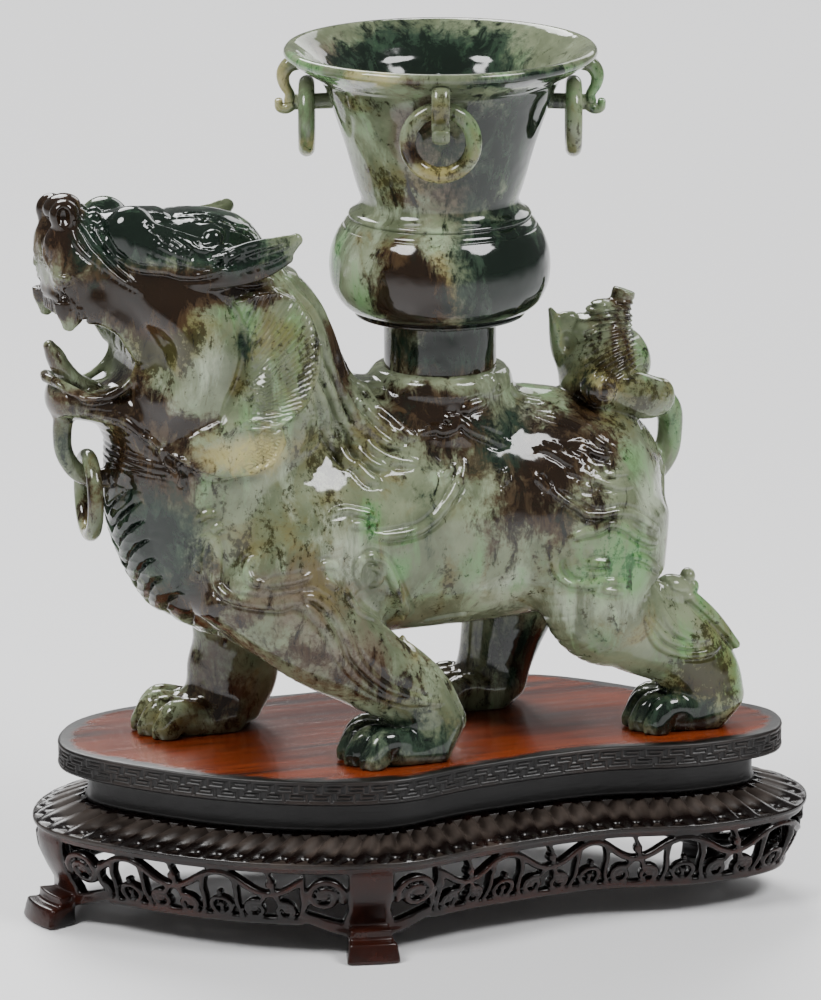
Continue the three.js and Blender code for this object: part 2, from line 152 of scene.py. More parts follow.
def in_chunks(work, points):
    """A function of an array of points, worked out in chunks shared among the processor's cores."""
    parts = [points[i:i + CHUNK] for i in range(0, len(points), CHUNK)]
    with ThreadPoolExecutor(WORKERS) as pool:
        return np.concatenate(list(pool.map(work, parts)))


Form = namedtuple("Form", "low high distance")


def oval(offset, radii):
    """Signed distance to an ellipsoid, near enough: k (k - 1) / g, where k is the length of the
    offset divided by the radii and g that of the offset divided by their squares."""
    k = np.linalg.norm(offset / radii, axis=-1)
    g = np.linalg.norm(offset / radii**2, axis=-1)
    return k * (k - 1) / np.maximum(g, 1e-6)


def egg(centre, radii, turn=(0, 0, 0)):
    """An ellipsoid, turned in degrees about X, Y and Z."""
    centre, radii, matrix = np.array(centre, float), np.array(radii, float), turned(*turn)
    reach = np.abs(matrix) @ radii
    return Form(centre - reach, centre + reach, lambda p: oval((p - centre) @ matrix, radii))


def beside(points, line):
    """The place on a polyline that is nearest to each point, with the line's other columns read
    there, and how far along it is as a number of points."""
    start = line[:-1, :3]
    step = np.diff(line[:, :3], axis=0)
    length = np.maximum((step**2).sum(1), 1e-9)
    along = (points @ step.T - (start * step).sum(1)) / length
    share = along.clip(0, 1)
    gap = (start**2).sum(1) - 2 * points @ start.T - (2 * along * share - share**2) * length
    best = gap.argmin(1)
    share = share[np.arange(len(points)), best]
    return line[best] + share[:, None] * (line[best + 1] - line[best]), best + share


def limb(stations, cap=3.0, steps=10):
    """A tapering limb with an oval section. A station is (x, y, z, half width, half depth): the
    width lies along Y and the depth square to it and to the path. Each end is rounded by cap."""
    line = spline(stations, steps)
    heading = unit(np.gradient(line[:, :3], axis=0))
    table = np.hstack([line, heading])

    def distance(p):
        at, _ = beside(p, table)
        ahead = unit(at[:, 5:8])
        side = unit(np.array([0, 1.0, 0]) - ahead * ahead[:, 1:2])
        depth = np.cross(ahead, side)
        away = p - at[:, :3]
        local = np.stack([(away * side).sum(1), (away * depth).sum(1), (away * ahead).sum(1)], 1)
        radii = np.stack([at[:, 3], at[:, 4], np.full(len(p), cap)], 1)
        return oval(local, radii)

    reach = line[:, 3:5].max() + cap
    return Form(line[:, :3].min(0) - reach, line[:, :3].max(0) + reach, distance)


def rope(stations, steps=6):
    """A round tapering rod along a curve. A station is (x, y, z, radius)."""
    line = spline(stations, steps)

    def distance(p):
        at, _ = beside(p, line)
        return np.linalg.norm(p - at[:, :3], axis=1) - at[:, 3]

    reach = line[:, 3].max()
    return Form(line[:, :3].min(0) - reach, line[:, :3].max(0) + reach, distance)


def drum(centre, radius, half_length, axis):
    """A cylinder along one axis, with flat ends."""
    centre = np.array(centre, float)
    across = [i for i in range(3) if i != axis]

    def distance(p):
        off = p - centre
        ring = np.linalg.norm(off[:, across], axis=1) - radius
        return np.maximum(ring, np.abs(off[:, axis]) - half_length)

    reach = np.full(3, radius, float)
    reach[axis] = half_length
    return Form(centre - reach, centre + reach, distance)


def both(form, drop=0.0):
    """The form, given on the near side, and its mirror image on the far side, which may sit lower."""
    reach = max(abs(form.low[1]), abs(form.high[1]))
    low = np.array([form.low[0], -reach, form.low[2] - drop])
    high = np.array([form.high[0], reach, form.high[2]])

    def distance(p):
        lift = drop * (p[:, 1] / 8).clip(0, 1)
        return form.distance(np.stack([p[:, 0], -np.abs(p[:, 1]), p[:, 2] + lift], 1))

    return Form(low, high, distance)


def soft_min(a, b, blend):
    """The lower of two fields, with the corner between them filled over `blend` millimetres."""
    share = np.maximum(blend - np.abs(a - b), 0) / blend
    return np.minimum(a, b) - share * share * blend / 4


class Carving:
    """A field of distances built up in steps, each of which acts only inside its own box."""

    def __init__(self):
        self.steps = []

    def step(self, low, high, margin, act):
        """Keeps one step: act turns the field's values at the points inside a box into new ones."""
        self.steps.append((np.asarray(low) - margin, np.asarray(high) + margin, act))

    def add(self, form, blend=3.0):
        """Joins a mass on, filling the corner over `blend`."""
        self.step(form.low, form.high, blend + 5,
                  lambda field, p: soft_min(field, form.distance(p), blend))

    def cut(self, form, blend=1.5):
        """Takes a form away, rounding the edge over `blend`."""
        self.step(form.low, form.high, blend + 1,
                  lambda field, p: -soft_min(-field, form.distance(p), blend))

    def line(self, path, width, height):
        """Raises a rounded line on the surface, or incises it where height is negative: height times
        (1 - (distance / width)^2)^2, lower and narrower towards both ends of the path. A raised line
        is set off by a shallow cut along each side."""
        path = np.asarray(path, float)
        share = np.linspace(0, 1, len(path))
        taper = np.minimum(1, np.minimum(share, 1 - share) * 5 + 0.15)
        table = np.hstack([path[:, :3], taper[:, None]])

        def act(field, p):
            at, _ = beside(p, table)
            away = np.linalg.norm(p - at[:, :3], axis=1) / (width * (0.55 + 0.45 * at[:, 3]))
            rise = np.maximum(1 - away * away, 0)**2
            if height > 0:
                rise -= 0.28 * np.maximum(1 - ((away - 1.15) / 0.55)**2, 0)**2
            return field - height * at[:, 3] * rise

        self.step(table[:, :3].min(0), table[:, :3].max(0), width * 1.8, act)

    def relief(self, low, high, height):
        """Raises the surface by height(points) inside a box. The function fades out by itself."""
        self.step(low, high, 0, lambda field, p: field - height(p))

    def read(self, points):
        """The field at some points, all of them in one go."""
        field = np.full(len(points), FAR)
        low, high = points.min(0), points.max(0)
        for step_low, step_high, act in self.steps:
            if (low > step_high).any() or (high < step_low).any():
                continue
            near = np.flatnonzero(((points > step_low) & (points < step_high)).all(1))
            if len(near):
                field[near] = act(field[near], points[near])
        return field

    def value(self, points):
        """The field at any number of points."""
        return in_chunks(self.read, points)

    def slope(self, points, reach=0.25):
        """The field's gradient by central differences, which is the outward normal."""
        shifts = np.eye(3) * reach
        return np.stack([self.value(points + s) - self.value(points - s) for s in shifts], 1) / (2 * reach)

    def engrave(self, strokes):
        """Carves lines that follow the surface. A stroke is (points near the surface, width, height).
        All are brought onto the surface by Newton steps, p - f g / |g|^2, before any is carved, and
        what misses it is left out."""
        paths = [spline(points, 6) for points, _, _ in strokes]
        points = np.vstack(paths)
        for _ in range(4):
            slope = self.slope(points)
            step = (self.value(points) / np.maximum((slope**2).sum(1), 0.2)).clip(-3, 3)
            points = points - step[:, None] * slope
        settled = np.abs(self.value(points)) < 0.6
        start = 0
        for path, (_, width, height) in zip(paths, strokes):
            end = start + len(path)
            if settled[start:end].mean() > 0.7:
                self.line(points[start:end][settled[start:end]], width, height)
            start = end


def zero_surface(read, low, high, pitch, around=False):
    """The surface where a field is zero, as surface nets: each grid cell that the surface crosses gets
    one vertex, at the mean of the crossings on its edges, and each crossed grid edge one quad joining
    the four cells around it. The grid is sampled coarsely first and finely only near the surface.
    With `around`, the first axis closes on itself."""
    low = np.asarray(low, float)
    cells = np.ceil((np.asarray(high) - low) / pitch / 4).astype(int) * 4
    if around:
        cells[0] = int(round((high[0] - low[0]) / pitch))
    grid = np.full(cells + 1, FAR, np.float32)

    def fill(mask, stride):
        index = np.argwhere(mask) * stride
        grid[tuple(index.T)] = read(low + index * pitch)

    fill(np.ones(grid[::4, ::4, ::4].shape, bool), 4)
    for stride, slack in ((4, 1.15), (2, 0.8)):
        known = grid[::stride, ::stride, ::stride]
        lowest = block(np.abs(known), np.minimum)
        mixed = block(known, np.minimum) * block(known, np.maximum) < 0
        near = mixed | (lowest < slack * stride * pitch)
        half = stride // 2
        finer = grid[::half, ::half, ::half]
        ask = np.zeros(finer.shape, bool)
        for i in range(3):
            for j in range(3):
                for k in range(3):
                    ask[i:i + 2 * near.shape[0] - 1:2, j:j + 2 * near.shape[1] - 1:2,
                        k:k + 2 * near.shape[2] - 1:2] |= near
        coarse = np.repeat(np.repeat(np.repeat(known, 2, 0), 2, 1), 2, 2)
        finer[...] = coarse[tuple(slice(0, n) for n in finer.shape)]
        fill(ask, half)
    return nets(grid, low, pitch, around)


def block(values, pick):
    """The lowest or highest of the eight corner values of every grid cell."""
    for axis in range(3):
        size = values.shape[axis]
        first = np.take(values, range(size - 1), axis)
        values = pick(first, np.take(values, range(1, size), axis))
    return values


def nets(grid, low, pitch, around):
    """Vertices and quads of the zero surface of a filled grid."""
    inside = grid < 0
    counts = block(inside.astype(np.int8), np.minimum), block(inside.astype(np.int8), np.maximum)
    active = counts[0] != counts[1]
    cell = np.argwhere(active)
    number = np.full(active.shape, -1, np.int32)
    number[active] = np.arange(len(cell))
    corners = np.array([[i, j, k] for i in (0, 1) for j in (0, 1) for k in (0, 1)])
    values = np.stack([grid[tuple((cell + c).T)] for c in corners], 1)
    total = np.zeros((len(cell), 3))
    count = np.zeros(len(cell))
    for a in range(8):
        for b in range(a + 1, 8):
            if np.abs(corners[a] - corners[b]).sum() != 1:
                continue
            crossed = (values[:, a] < 0) != (values[:, b] < 0)
            share = values[crossed, a] / (values[crossed, a] - values[crossed, b])
            total[crossed] += corners[a] + share[:, None] * (corners[b] - corners[a])
            count[crossed] += 1
    vertices = low + pitch * (cell + total / count[:, None])
    quads = []
    for axis in range(3):
        u, v = (axis + 1) % 3, (axis + 2) % 3
        ahead = tuple(slice(1, None) if i == axis else slice(None) for i in range(3))
        here = tuple(slice(None, -1) if i == axis else slice(None) for i in range(3))
        crossed = np.argwhere(inside[here] != inside[ahead])
        if around and axis != 0:
            crossed = crossed[crossed[:, 0] < grid.shape[0] - 1]
        outward = inside[here][tuple(crossed.T)]
        back_u, back_v = np.eye(3, dtype=int)[u], np.eye(3, dtype=int)[v]
        ring = [crossed - back_u - back_v, crossed - back_v, crossed, crossed - back_u]
        face = np.stack([number[tuple(c.T)] for c in ring], 1)
        quads.append(np.where(outward[:, None], face, face[:, ::-1]))
    return vertices, np.vstack(quads)


def carve_body(clay):
    """The trunk, from the breast to the rump, and the arched neck."""
    trunk = [(-86, 0, 128, 18, 19), (-68, 0, 127, 28, 30), (-40, 0, 127, 33, 36), (-4, 0, 128.6, 32, 37.6),
             (26, 0, 129.4, 33, 37.6), (50, 0, 128.5, 33, 34), (62, 0, 126, 29, 29.5), (71, 0, 123, 18, 21)]
    neck = [(-62, 0, 104, 20, 16), (-71, 0, 126, 28, 28), (-72, 0, 150, 31, 33), (-66, 0, 174, 31, 36),
            (-66, 0, 194, 29, 32), (-67, 0, 207, 24, 24)]
    nape = [(-58, 0, 199, 15, 10.5), (-46.6, 0, 184, 18, 10.2), (-35.4, 0, 168, 20, 10.4),
            (-14, 0, 157, 20, 11)]
    clay.add(limb(trunk, cap=5), 1)
    clay.add(limb(neck, cap=5), 7)
    clay.add(limb(nape, cap=6), 9)
    for side in (-1, 1):
        clay.add(egg((-54, 17 * side, 121), (21, 16, 28), (0, 12, 0)), 9)
        clay.add(egg((48.5, 17 * side, 125.5), (22.5, 18, 28), (0, -8, 0)), 9)


# Stations from the trunk to the ankle, the toes' x, the paw's y, and how far the toes spread
LEGS = {
    "near_fore": ([(-61, -21, 121, 15, 25), (-46, -26, 100, 14, 17), (-29, -27, 87, 12.5, 13.6),
                   (-14, -26.5, 76, 11, 11.6), (-7, -26.5, 65, 11, 11.2)], -37, -26.5, 1.0),
    "far_fore": ([(-66, 19, 122, 13, 19), (-58, 24, 103, 12.5, 14.5), (-54, 26.5, 87, 12, 14),
                  (-55, 27.5, 74, 11.5, 15), (-58, 27.5, 64, 11, 13)], -87.5, 27.5, 1.0),
    "near_hind": ([(52, -20, 126, 15, 22), (52, -23, 101, 15, 20.5), (63, -23.5, 91, 12.6, 15.6),
                   (76, -23.5, 84, 11, 14.4), (85, -23.5, 73, 10.4, 12.8), (88, -23.5, 64, 11, 12)],
                  61, -21.6, 0.86),
    "far_hind": ([(48, 20, 124, 14, 26), (43, 22, 102, 13.5, 21), (37, 22.5, 86, 11, 15.5),
                  (33, 22.5, 72, 10, 12.5), (31, 22.5, 64, 11, 12)], 7, 22.5, 0.9),
}


def carve_leg(clay, stations, toe, y, spread):
    """A leg, from the trunk to the ankle, and its low paw with four clawed toes, spread more or less."""
    ankle = stations[-1][0]
    clay.add(limb(stations, cap=8), 5)
    clay.add(limb([(ankle, y, 60, 12 * spread, 8.2), (0.5 * (ankle + toe) + 2, y, 60.4, 12.5 * spread, 7.2),
                   (toe + 12, y, 60.6, 12 * spread, 6)], cap=5), 4)
    for across, back in ((-9.6, 3.5), (-3.4, 0.6), (3.4, 0.6), (9.6, 3.5)):
        lane = y + across * spread
        clay.add(limb([(toe + back + 15, lane * 0.9 + y * 0.1, 63.4, 3.5, 3.8),
                       (toe + back + 7.5, lane, 64.2, 3.9, 4.3),
                       (toe + back + 4.2, lane, 60.2, 3.8, 4.5),
                       (toe + back + 4.6, lane, 58, 3.6, 4.4)], cap=3, steps=4), 1.2)
        clay.add(limb([(toe + back + 2.4, lane, 62, 1.7, 1.5), (toe + back + 0.3, lane, 59.6, 1.7, 1.4),
                       (toe + back - 0.2, lane, 57.2, 1.1, 0.9)], cap=1, steps=4), 0.4)


def carve_head(clay):
    """The skull thrown back, the blunt snout, the gaping mouth with its tongue, brows and ears. The
    mouth is bored straight through from cheek to cheek, and opens to the front."""
    x, z = BORE
    skull = [(-56, 0, 204, 20, 14.5), (-66, 0, 206, 26, 23), (-84, 0, 208.6, 27, 23.4),
             (-100, 0, 213, 21.5, 18), (-112, 0, 217.5, 16, 14.6), (-119.5, 0, 219.5, 13, 12)]
    clay.add(limb(skull, cap=4), 6)
    jaw = [(-72, 0, 171, 25, 21), (-86, 0, 167, 23, 16), (-97, 0, 169, 19, 11), (-108, 0, 172.4, 15, 6.4),
           (-119.6, 0, 175, 10.6, 6.4)]
    clay.add(limb(jaw, cap=4), 5)
    clay.add(both(egg((-86, -17.5, 191), (18, 16.6, 24))), 4.5)
    clay.cut(both(egg((-108, -31, 189), (17, 17.6, 17))), 8)
    clay.cut(drum((x, 0, z), BORE_RADIUS, 45, 1), 0.6)
    for rise in (-2.6, 2.6):
        clay.cut(drum((x + 4.6, 0, z + rise), 8.8, 45, 1), 0.6)
    gape = [(x - 1, 0, z + 1, 40, 9.6), (x - 9, 0, z + 4, 40, 10.4), (x - 30, 0, z + 6, 40, 12)]
    clay.cut(limb(gape, cap=4), 0.8)
    carve_muzzle(clay)
    carve_jaw(clay)
    carve_brow(clay)
    carve_ears(clay)


def mouth_ring(y, radius, start, end, count=12):
    """Places round the mouth's bore at one depth, between two angles from the throat upwards."""
    angle = np.radians(np.linspace(start, end, count))
    across = radius * np.cos(angle) + 1.8 * np.cos(angle).clip(0)
    return [(BORE[0] + x, y, BORE[1] + z) for x, z in zip(across, radius * np.sin(angle))]


def carve_muzzle(clay):
    """Nose and nostrils, wrinkled muzzle, rolled upper lip with its fang, creases on the snout."""
    clay.add(egg((-118.4, 0, 234.8), (6, 5.6, 4.2), (0, -8, 0)), 1.6)
    clay.add(both(egg((-119.8, -7, 233.8), (4.7, 3.9, 4.8)), 0.8), 1.4)
    clay.cut(both(egg((-121, -11, 233.8), (2.1, 3.0, 3.3)), 0.8), 1.0)
    bridge = [(-116, 0, 229.6, 9, 3), (-108, 0, 229, 8, 3), (-97, 0, 229.6, 9, 3.4), (-88, 0, 229.6, 8, 3)]
    clay.add(limb(bridge, cap=3), 2)
    for x, y, z in ((-113.6, -3.4, 232.6), (-109.6, -4.6, 231.8), (-112, 2.4, 233), (-107.6, 1, 232)):
        clay.add(egg((x, y, z), (2.4, 2.4, 2)), 0.8)
    clay.add(both(egg((-117, -5, 223), (8.9, 7.4, 9.6))), 2.4)
    clay.add(both(egg((-116, -9.4, 215.5), (8.2, 6.4, 8), (0, -20, 0))), 2)
    clay.add(both(limb([(-116.4, -12.4, 211, 3, 6), (-110, -14.4, 206.4, 3, 5.4), (-103, -15.6, 200, 3, 4.4),
                        (-97.6, -16, 191, 3, 4)], cap=3)), 2.4)
    lip = [(-122.6, 0, 208.4, 1.9), (-122, -5, 208.6, 2.0), (-119.8, -10, 207.4, 2.0),
           (-116, -13, 204.6, 1.8), (-111.4, -14, 202.2, 1.5), (-106, -14.4, 198.8, 1.3)]
    clay.add(both(rope(lip)), 1.2)
    clay.add(both(limb([(-119.4, -11.4, 207, 2.8, 5.4), (-119.6, -11.8, 203, 2.4, 4.4),
                        (-120.4, -11.8, 199.4, 1.3, 1.8)], cap=1, steps=4)), 0.8)
    for k in range(5):
        y = -1.2 - 2.0 * k
        x = -122.6 + 0.1 * k * k
        clay.add(both(rope([(x, y, 207, 1.2), (x + 0.2, y, 203.6 - 0.2 * k, 0.9)], 3)), 0.4)
    rim = [(*place, 1.25) for place in mouth_ring(-13.2, BORE_RADIUS + 1.2, 96, -104)]
    clay.add(both(rope(rim)), 1.4)


def carve_jaw(clay):
    """Lower jaw: its rolled lip, the leaf-shaped tongue that curls up in front, and the strap below."""
    low_lip = [(-124.2, 0, 181.4, 1.5), (-123, -5, 181.2, 1.5), (-120, -9, 179.8, 1.5),
               (-115.4, -12.4, 177.4, 1.4)]
    clay.add(both(rope(low_lip)), 1.2)
    tongue = [(-108, 0, 176.6, 5.4, 2.2), (-114.4, 0, 179.4, 5.6, 2.8), (-118.8, 0, 183.8, 5.4, 3.1),
              (-121.2, 0, 188.2, 4.6, 2.9), (-123.2, 0, 191.8, 2.6, 1.8)]
    clay.add(limb(tongue, cap=1.2), 0.8)
    furrow = [(-116.2, -1.6, 184.6), (-118.6, -1.6, 188), (-120.6, -1.4, 191), (-122.4, -1, 193.4)]
    clay.line(spline(furrow, 6), 1.5, -1.3)
    strap = [(-118.4, 0, 171, 3.8, 3.2), (-119.2, 0, 163, 3.7, 2.9), (-118.4, 0, 156.6, 3.4, 2.8),
             (-114.4, 0, 150.6, 3.1, 2.8), (-108, 0, 148, 3.1, 2.9), (-100, 0, 148.6, 3.6, 3.4)]
    clay.add(limb(strap, cap=2), 2)


def carve_brow(clay):
    """The bulging brows over the eyes, each running back in a lock that ends in a small spiral."""
    clay.add(both(egg((-100.8, -13.4, 227.6), (8.6, 7.4, 9), (8, 14, 0)), FAR_DROP), 1.6)
    lock = [(-100, -17.5, 226, 4.5, 7.5), (-91, -21, 222.5, 4.4, 7.6), (-82, -23, 220.6, 4, 6.6),
            (-73, -24, 220.4, 3.4, 4.6)]
    clay.add(both(limb(lock, cap=3), FAR_DROP), 2)
    clay.add(both(egg((-77, -22, 226), (3.5, 3, 3.3)), FAR_DROP), 1.0)
    clay.add(both(egg((-106.5, -14, 220.5), (4.2, 3.4, 2.6), (0, 25, 0)), FAR_DROP), 1.2)


def carve_ears(clay):
    """Pointed ears, hollowed above, that lie back along the neck."""
    ear = [(-88, -23.5, 216.5, 2.6, 2.6), (-78, -27, 218, 3.2, 4.6), (-68, -29.6, 220.4, 3, 5.6),
           (-60, -31.4, 222.6, 2.6, 4.8), (-53.4, -33, 226.6, 1.6, 2)]
    clay.add(both(limb(ear, cap=1.6), FAR_DROP), 1.5)
    hollow = [(-76, -30.8, 219.8, 1.8, 1.6), (-68, -33.4, 221.6, 2.2, 2.6), (-61, -34.6, 223.6, 1.8, 1.8)]
    clay.cut(both(limb(hollow, cap=3), FAR_DROP), 1.0)
    clay.add(both(rope([(-92, -21.5, 214.6, 2.0), (-84, -26, 213.6, 2.1), (-74, -28.6, 214, 2.1),
                        (-64, -30.4, 216, 1.8), (-56, -32.4, 220.4, 1.3)]), FAR_DROP), 1.6)


# The ruff's two lobes and the crease in front of them, as (x, z) and as x at some heights
RUFF_OUTLINES = [
    [(-74, 207), (-66, 210), (-58, 210), (-51, 206.5), (-46, 200), (-43.5, 192), (-43.5, 185), (-46, 177.5),
     (-51, 171), (-59, 167), (-70, 167), (-79, 172), (-82, 188)],
    [(-84, 172), (-70, 172), (-58, 169), (-56, 162), (-60, 156), (-67, 153), (-77, 152.6), (-86, 155),
     (-95, 161)],
]
CREASE_Z = (158, 163, 168, 171, 176, 182, 188, 194, 200.5, 206, 210)
CREASE_X = (-100, -92, -84, -78, -75, -72, -70, -69.5, -71, -73.5, -78)


def inside_outline(x, z, outline):
    """Distance from places to a closed outline in the X-Z plane, negative outside it."""
    ring = np.array(outline + outline[:1], float)
    flat = np.stack([x, z], 1)
    away, inside = np.full(len(x), np.inf), np.zeros(len(x), bool)
    for a, b in zip(ring[:-1], ring[1:]):
        step = b - a
        share = ((flat - a) @ step / (step @ step)).clip(0, 1)
        away = np.minimum(away, np.linalg.norm(flat - a - share[:, None] * step, axis=1))
        crosses = ((a[1] > z) != (b[1] > z)) & (x < a[0] + (z - a[1]) * step[0] / (step[1] or 1e-9))
        inside ^= crosses
    return np.where(inside, away, -away)


def carve_ruff(clay):
    """The collar of hair behind each cheek: two overlapping lobes that stand up to a sharp outer edge,
    with strands that fan out from the corner of the jaw. Both sink into the crease behind the cheek."""
    for centre, radii in (((-62, -20, 190), (20, 9, 20)), ((-72, -21.5, 164), (18, 7, 13))):
        clay.add(both(egg(centre, radii)), 4)

    def height(points):
        x, y, z = points.T
        side = ((np.abs(y) - 12) / 6).clip(0, 1)
        turn = np.degrees(np.arctan2(z - RUFF_FOCUS[1], x - RUFF_FOCUS[0]))
        out = np.hypot(x - RUFF_FOCUS[0], z - RUFF_FOCUS[1])
        strands = np.cos(np.radians(turn / 2.5 * 360)) * ((out - 12) / 10).clip(0, 1)
        total = np.zeros(len(x))
        for outline, rise in ((RUFF_OUTLINES[0], 2.8), (RUFF_OUTLINES[1], 3.0)):
            depth = inside_outline(x, z, outline)
            edge = (depth / 0.9).clip(0, 1)
            slope = 0.45 + 0.55 * np.exp(-(depth / 7).clip(0, 9))
            hair = 0.26 * strands * ((depth - 0.8) / 1.5).clip(0, 1) * (y < 0)
            total = np.maximum(total, edge * (rise * slope + hair))
        behind = x - np.interp(z, CREASE_Z, CREASE_X)
        return total * side * (behind / 8).clip(0, 1)**0.7

    clay.relief((-96, -40, 150), (-40, 40, 212), height)


def carve_socket(clay):
    """The round collar on the back that takes the vase's stem. Its bore is cut last."""
    x = SOCKET_X
    cup = [(x, 0, 148, 19, 19), (x, 0, 158, 25, 25), (x, 0, 165, 23, 23), (x, 0, 171, 22.4, 22.4)]
    rim = [(x, 0, 170, 22.6, 22.6), (x, 0, 173, 22.2, 22.2), (x, 0, 174.5, 21, 21)]
    clay.add(limb(cup, cap=3), 6)
    clay.add(limb(rim, cap=1.6), 1.2)


def carve_tail(clay):
    """The tail: a stem that loops up behind the rump to a plume of coiled hair with a broken tip."""
    stem = [(69, 0, 128, 5), (77.4, 0, 134.6, 4.6), (82.2, 0, 140.4, 4.2), (83.6, 0, 147.6, 4.0),
            (82.4, -1, 154.6, 4.4), (77, -2, 160, 5)]
    clay.add(rope(stem), 1.6)
    plume = [(57.4, 0, 158, 12, 10.4), (58.6, 0, 167, 13, 12.4), (60, 0, 175, 12, 11.6),
             (61.6, 0, 181.5, 9.4, 8.8), (63.8, 0, 187, 6.4, 6.2)]
    clay.add(limb(plume, cap=4), 1)
    clay.add(rope([(64.4, 0, 186, 3.8), (66.2, 0, 190, 3.7), (67.2, 0, 193.2, 3.8)]), 1)
    clay.cut(egg((68.6, 0, 199.4), (9, 9, 5.2), (0, 24, 0)), 0.5)
    clay.add(egg((58.8, -2.4, 188.4), (4.6, 4.8, 4)), 2.4)
    clay.add(egg((53.6, -2, 183.6), (4.4, 5.4, 3.4), (0, -40, 0)), 1.2)
    clay.add(limb([(53, 3, 166, 5, 4.4), (48.8, 3, 174, 3.6, 4), (46.4, 2.6, 181.4, 2.8, 3.2),
                   (44.8, 2.2, 186, 1.8, 2), (43.4, 2, 189.2, 0.9, 0.9)], cap=1), 1.4)
    clay.add(limb([(45.4, 3, 185.2, 1.6, 1.6), (48, 2, 186.6, 2, 1.7), (53, 1, 186, 2, 1.8)], cap=1), 1)
    clay.add(egg((50, 3, 179), (5.6, 5, 8.4)), 1.5)
    clay.cut(egg((47.4, -2.4, 179.4), (2.4, 3, 3.6)), 0.8)
    clay.add(egg((70, 2, 173), (6.2, 9, 9.6), (0, -24, 0)), 2.2)
    fan = [(56, -7, 165.4, 8, 7.6), (64, -8, 163.6, 7.4, 7.4), (72, -7.4, 160.8, 6.4, 7.2),
           (78, -4.6, 159.6, 5.2, 6.2)]
    clay.add(limb(fan, cap=4.5), 1.2)
    clay.add(egg((54, -12.6, 166.4), (6, 6, 6)), 0.8)
    clay.cut(drum((76.8, 0, 150), 2.3, 34, 1), 1.0)


def carve_hock(clay):
    """The tuft of hair on each hind leg's hock: a bulb with a curled knob and a fin that runs down."""
    for near in (True, False):
        x, y, z = (0, -26, 0) if near else (-35, 25, -2)
        clay.add(egg((x + 75, y, z + 103), (5.6, 4.6, 3.8), (0, 20, 0)), 1.0)
        clay.add(egg((x + 79.6, y, z + 106), (2.4, 3, 2.6)), 0.6)
        clay.add(egg((x + 81, y, z + 102.4), (2.3, 2.8, 2.4)), 0.6)
        fin = [(x + 79, y, z + 100.5, 4, 2.4), (x + 88, y, z + 91.4, 4, 2.6), (x + 96, y, z + 82, 2.8, 1.6)]
        clay.add(limb(fin, cap=1.5), 1.0)


# The carved lines, each a few places (x, y, z) along it on the near side, drawn over the
# photograph and given to the half millimetre. Those of the brow and skull, and the lists whose name
# ends in GROOVE, are cut in, and the others stand up.
BROW = [
    [(-104, -7, 236), (-98.5, -7, 236), (-92.5, -7, 234), (-87, -7.5, 230.5), (-82, -7.5, 227.5),
     (-78, -7.5, 225.5)],
    [(-98.5, -22.5, 236), (-93.5, -22.5, 232.5), (-88, -22.5, 229), (-85, -24, 227), (-82.5, -25.5, 225),
     (-79, -25.5, 224.5), (-75.5, -25, 225), (-74, -25, 227.5)],
    [(-98.5, -23, 234), (-93, -22, 229.5), (-89, -24.5, 227), (-85, -25.5, 224), (-81.5, -26.5, 222.5),
     (-77.5, -27, 223), (-74, -25.5, 224.5)],
    [(-97.5, -21, 231), (-93.5, -23, 228), (-89, -25, 225), (-84.5, -26, 222.5), (-80, -27.5, 221.5),
     (-75, -30, 223)],
    [(-97.5, -22, 229), (-92.5, -24.5, 225.5), (-88, -25.5, 223), (-83.5, -26.5, 221), (-79, -29, 220.5),
     (-74, -30.5, 222)],
    [(-98, -23, 226.5), (-93, -24.5, 223.5), (-87.5, -26, 221), (-82.5, -28, 219.5), (-77.5, -28.5, 219),
     (-72.5, -30, 221)],
    [(-98.5, -23, 223.5), (-94, -24.5, 221.5), (-88.5, -25.5, 219.5), (-83, -28, 218), (-78, -30, 218.5),
     (-71.5, -30, 220)],
    [(-78, -12.5, 229), (-74.5, -9.5, 229.5), (-72, -12, 228.5), (-70.5, -15.5, 226), (-74, -24, 225),
     (-77.5, -26, 224), (-81, -25.5, 225), (-82.5, -24.5, 227)],
]
SKULL = [
    [(-80, -7, 230.5), (-74, -8, 230), (-68.5, -11, 228), (-64.5, -14.5, 225.5), (-61.5, -15.5, 223.5)],
    [(-79.5, -11.5, 229.5), (-73, -11.5, 229), (-69, -14, 227), (-65, -13, 223.5)],
    [(-75.5, -9.5, 232.5), (-69.5, -11.5, 230), (-63.5, -11.5, 226.5), (-59.5, -12.5, 223.5)],
    [(-75, -23.5, 229.5), (-72.5, -26.5, 227), (-69.5, -25, 224.5)],
    [(-83, -6.5, 232.5), (-76, -5, 231), (-70.5, -8, 230), (-66, -11, 227.5), (-61, -9.5, 223.5)],
]
EYE_GROOVE = [
    [(-106.5, -13.5, 236.5), (-108.5, -13.5, 234), (-109, -13.5, 230.5), (-108.5, -16.5, 227.5),
     (-106.5, -17.5, 224), (-103.5, -19.5, 221), (-100.5, -21, 219.5)],
]
EYE_RIM = [
    [(-105, -7.5, 235.5), (-108.5, -9.5, 233), (-109, -9.5, 229), (-109, -15, 226), (-107, -17.5, 222.5),
     (-104, -19.5, 219.5), (-99.5, -21.5, 218), (-94, -24.5, 217.5), (-88, -27, 216.5), (-81, -30, 216.5),
     (-75, -30.5, 218.5)],
]
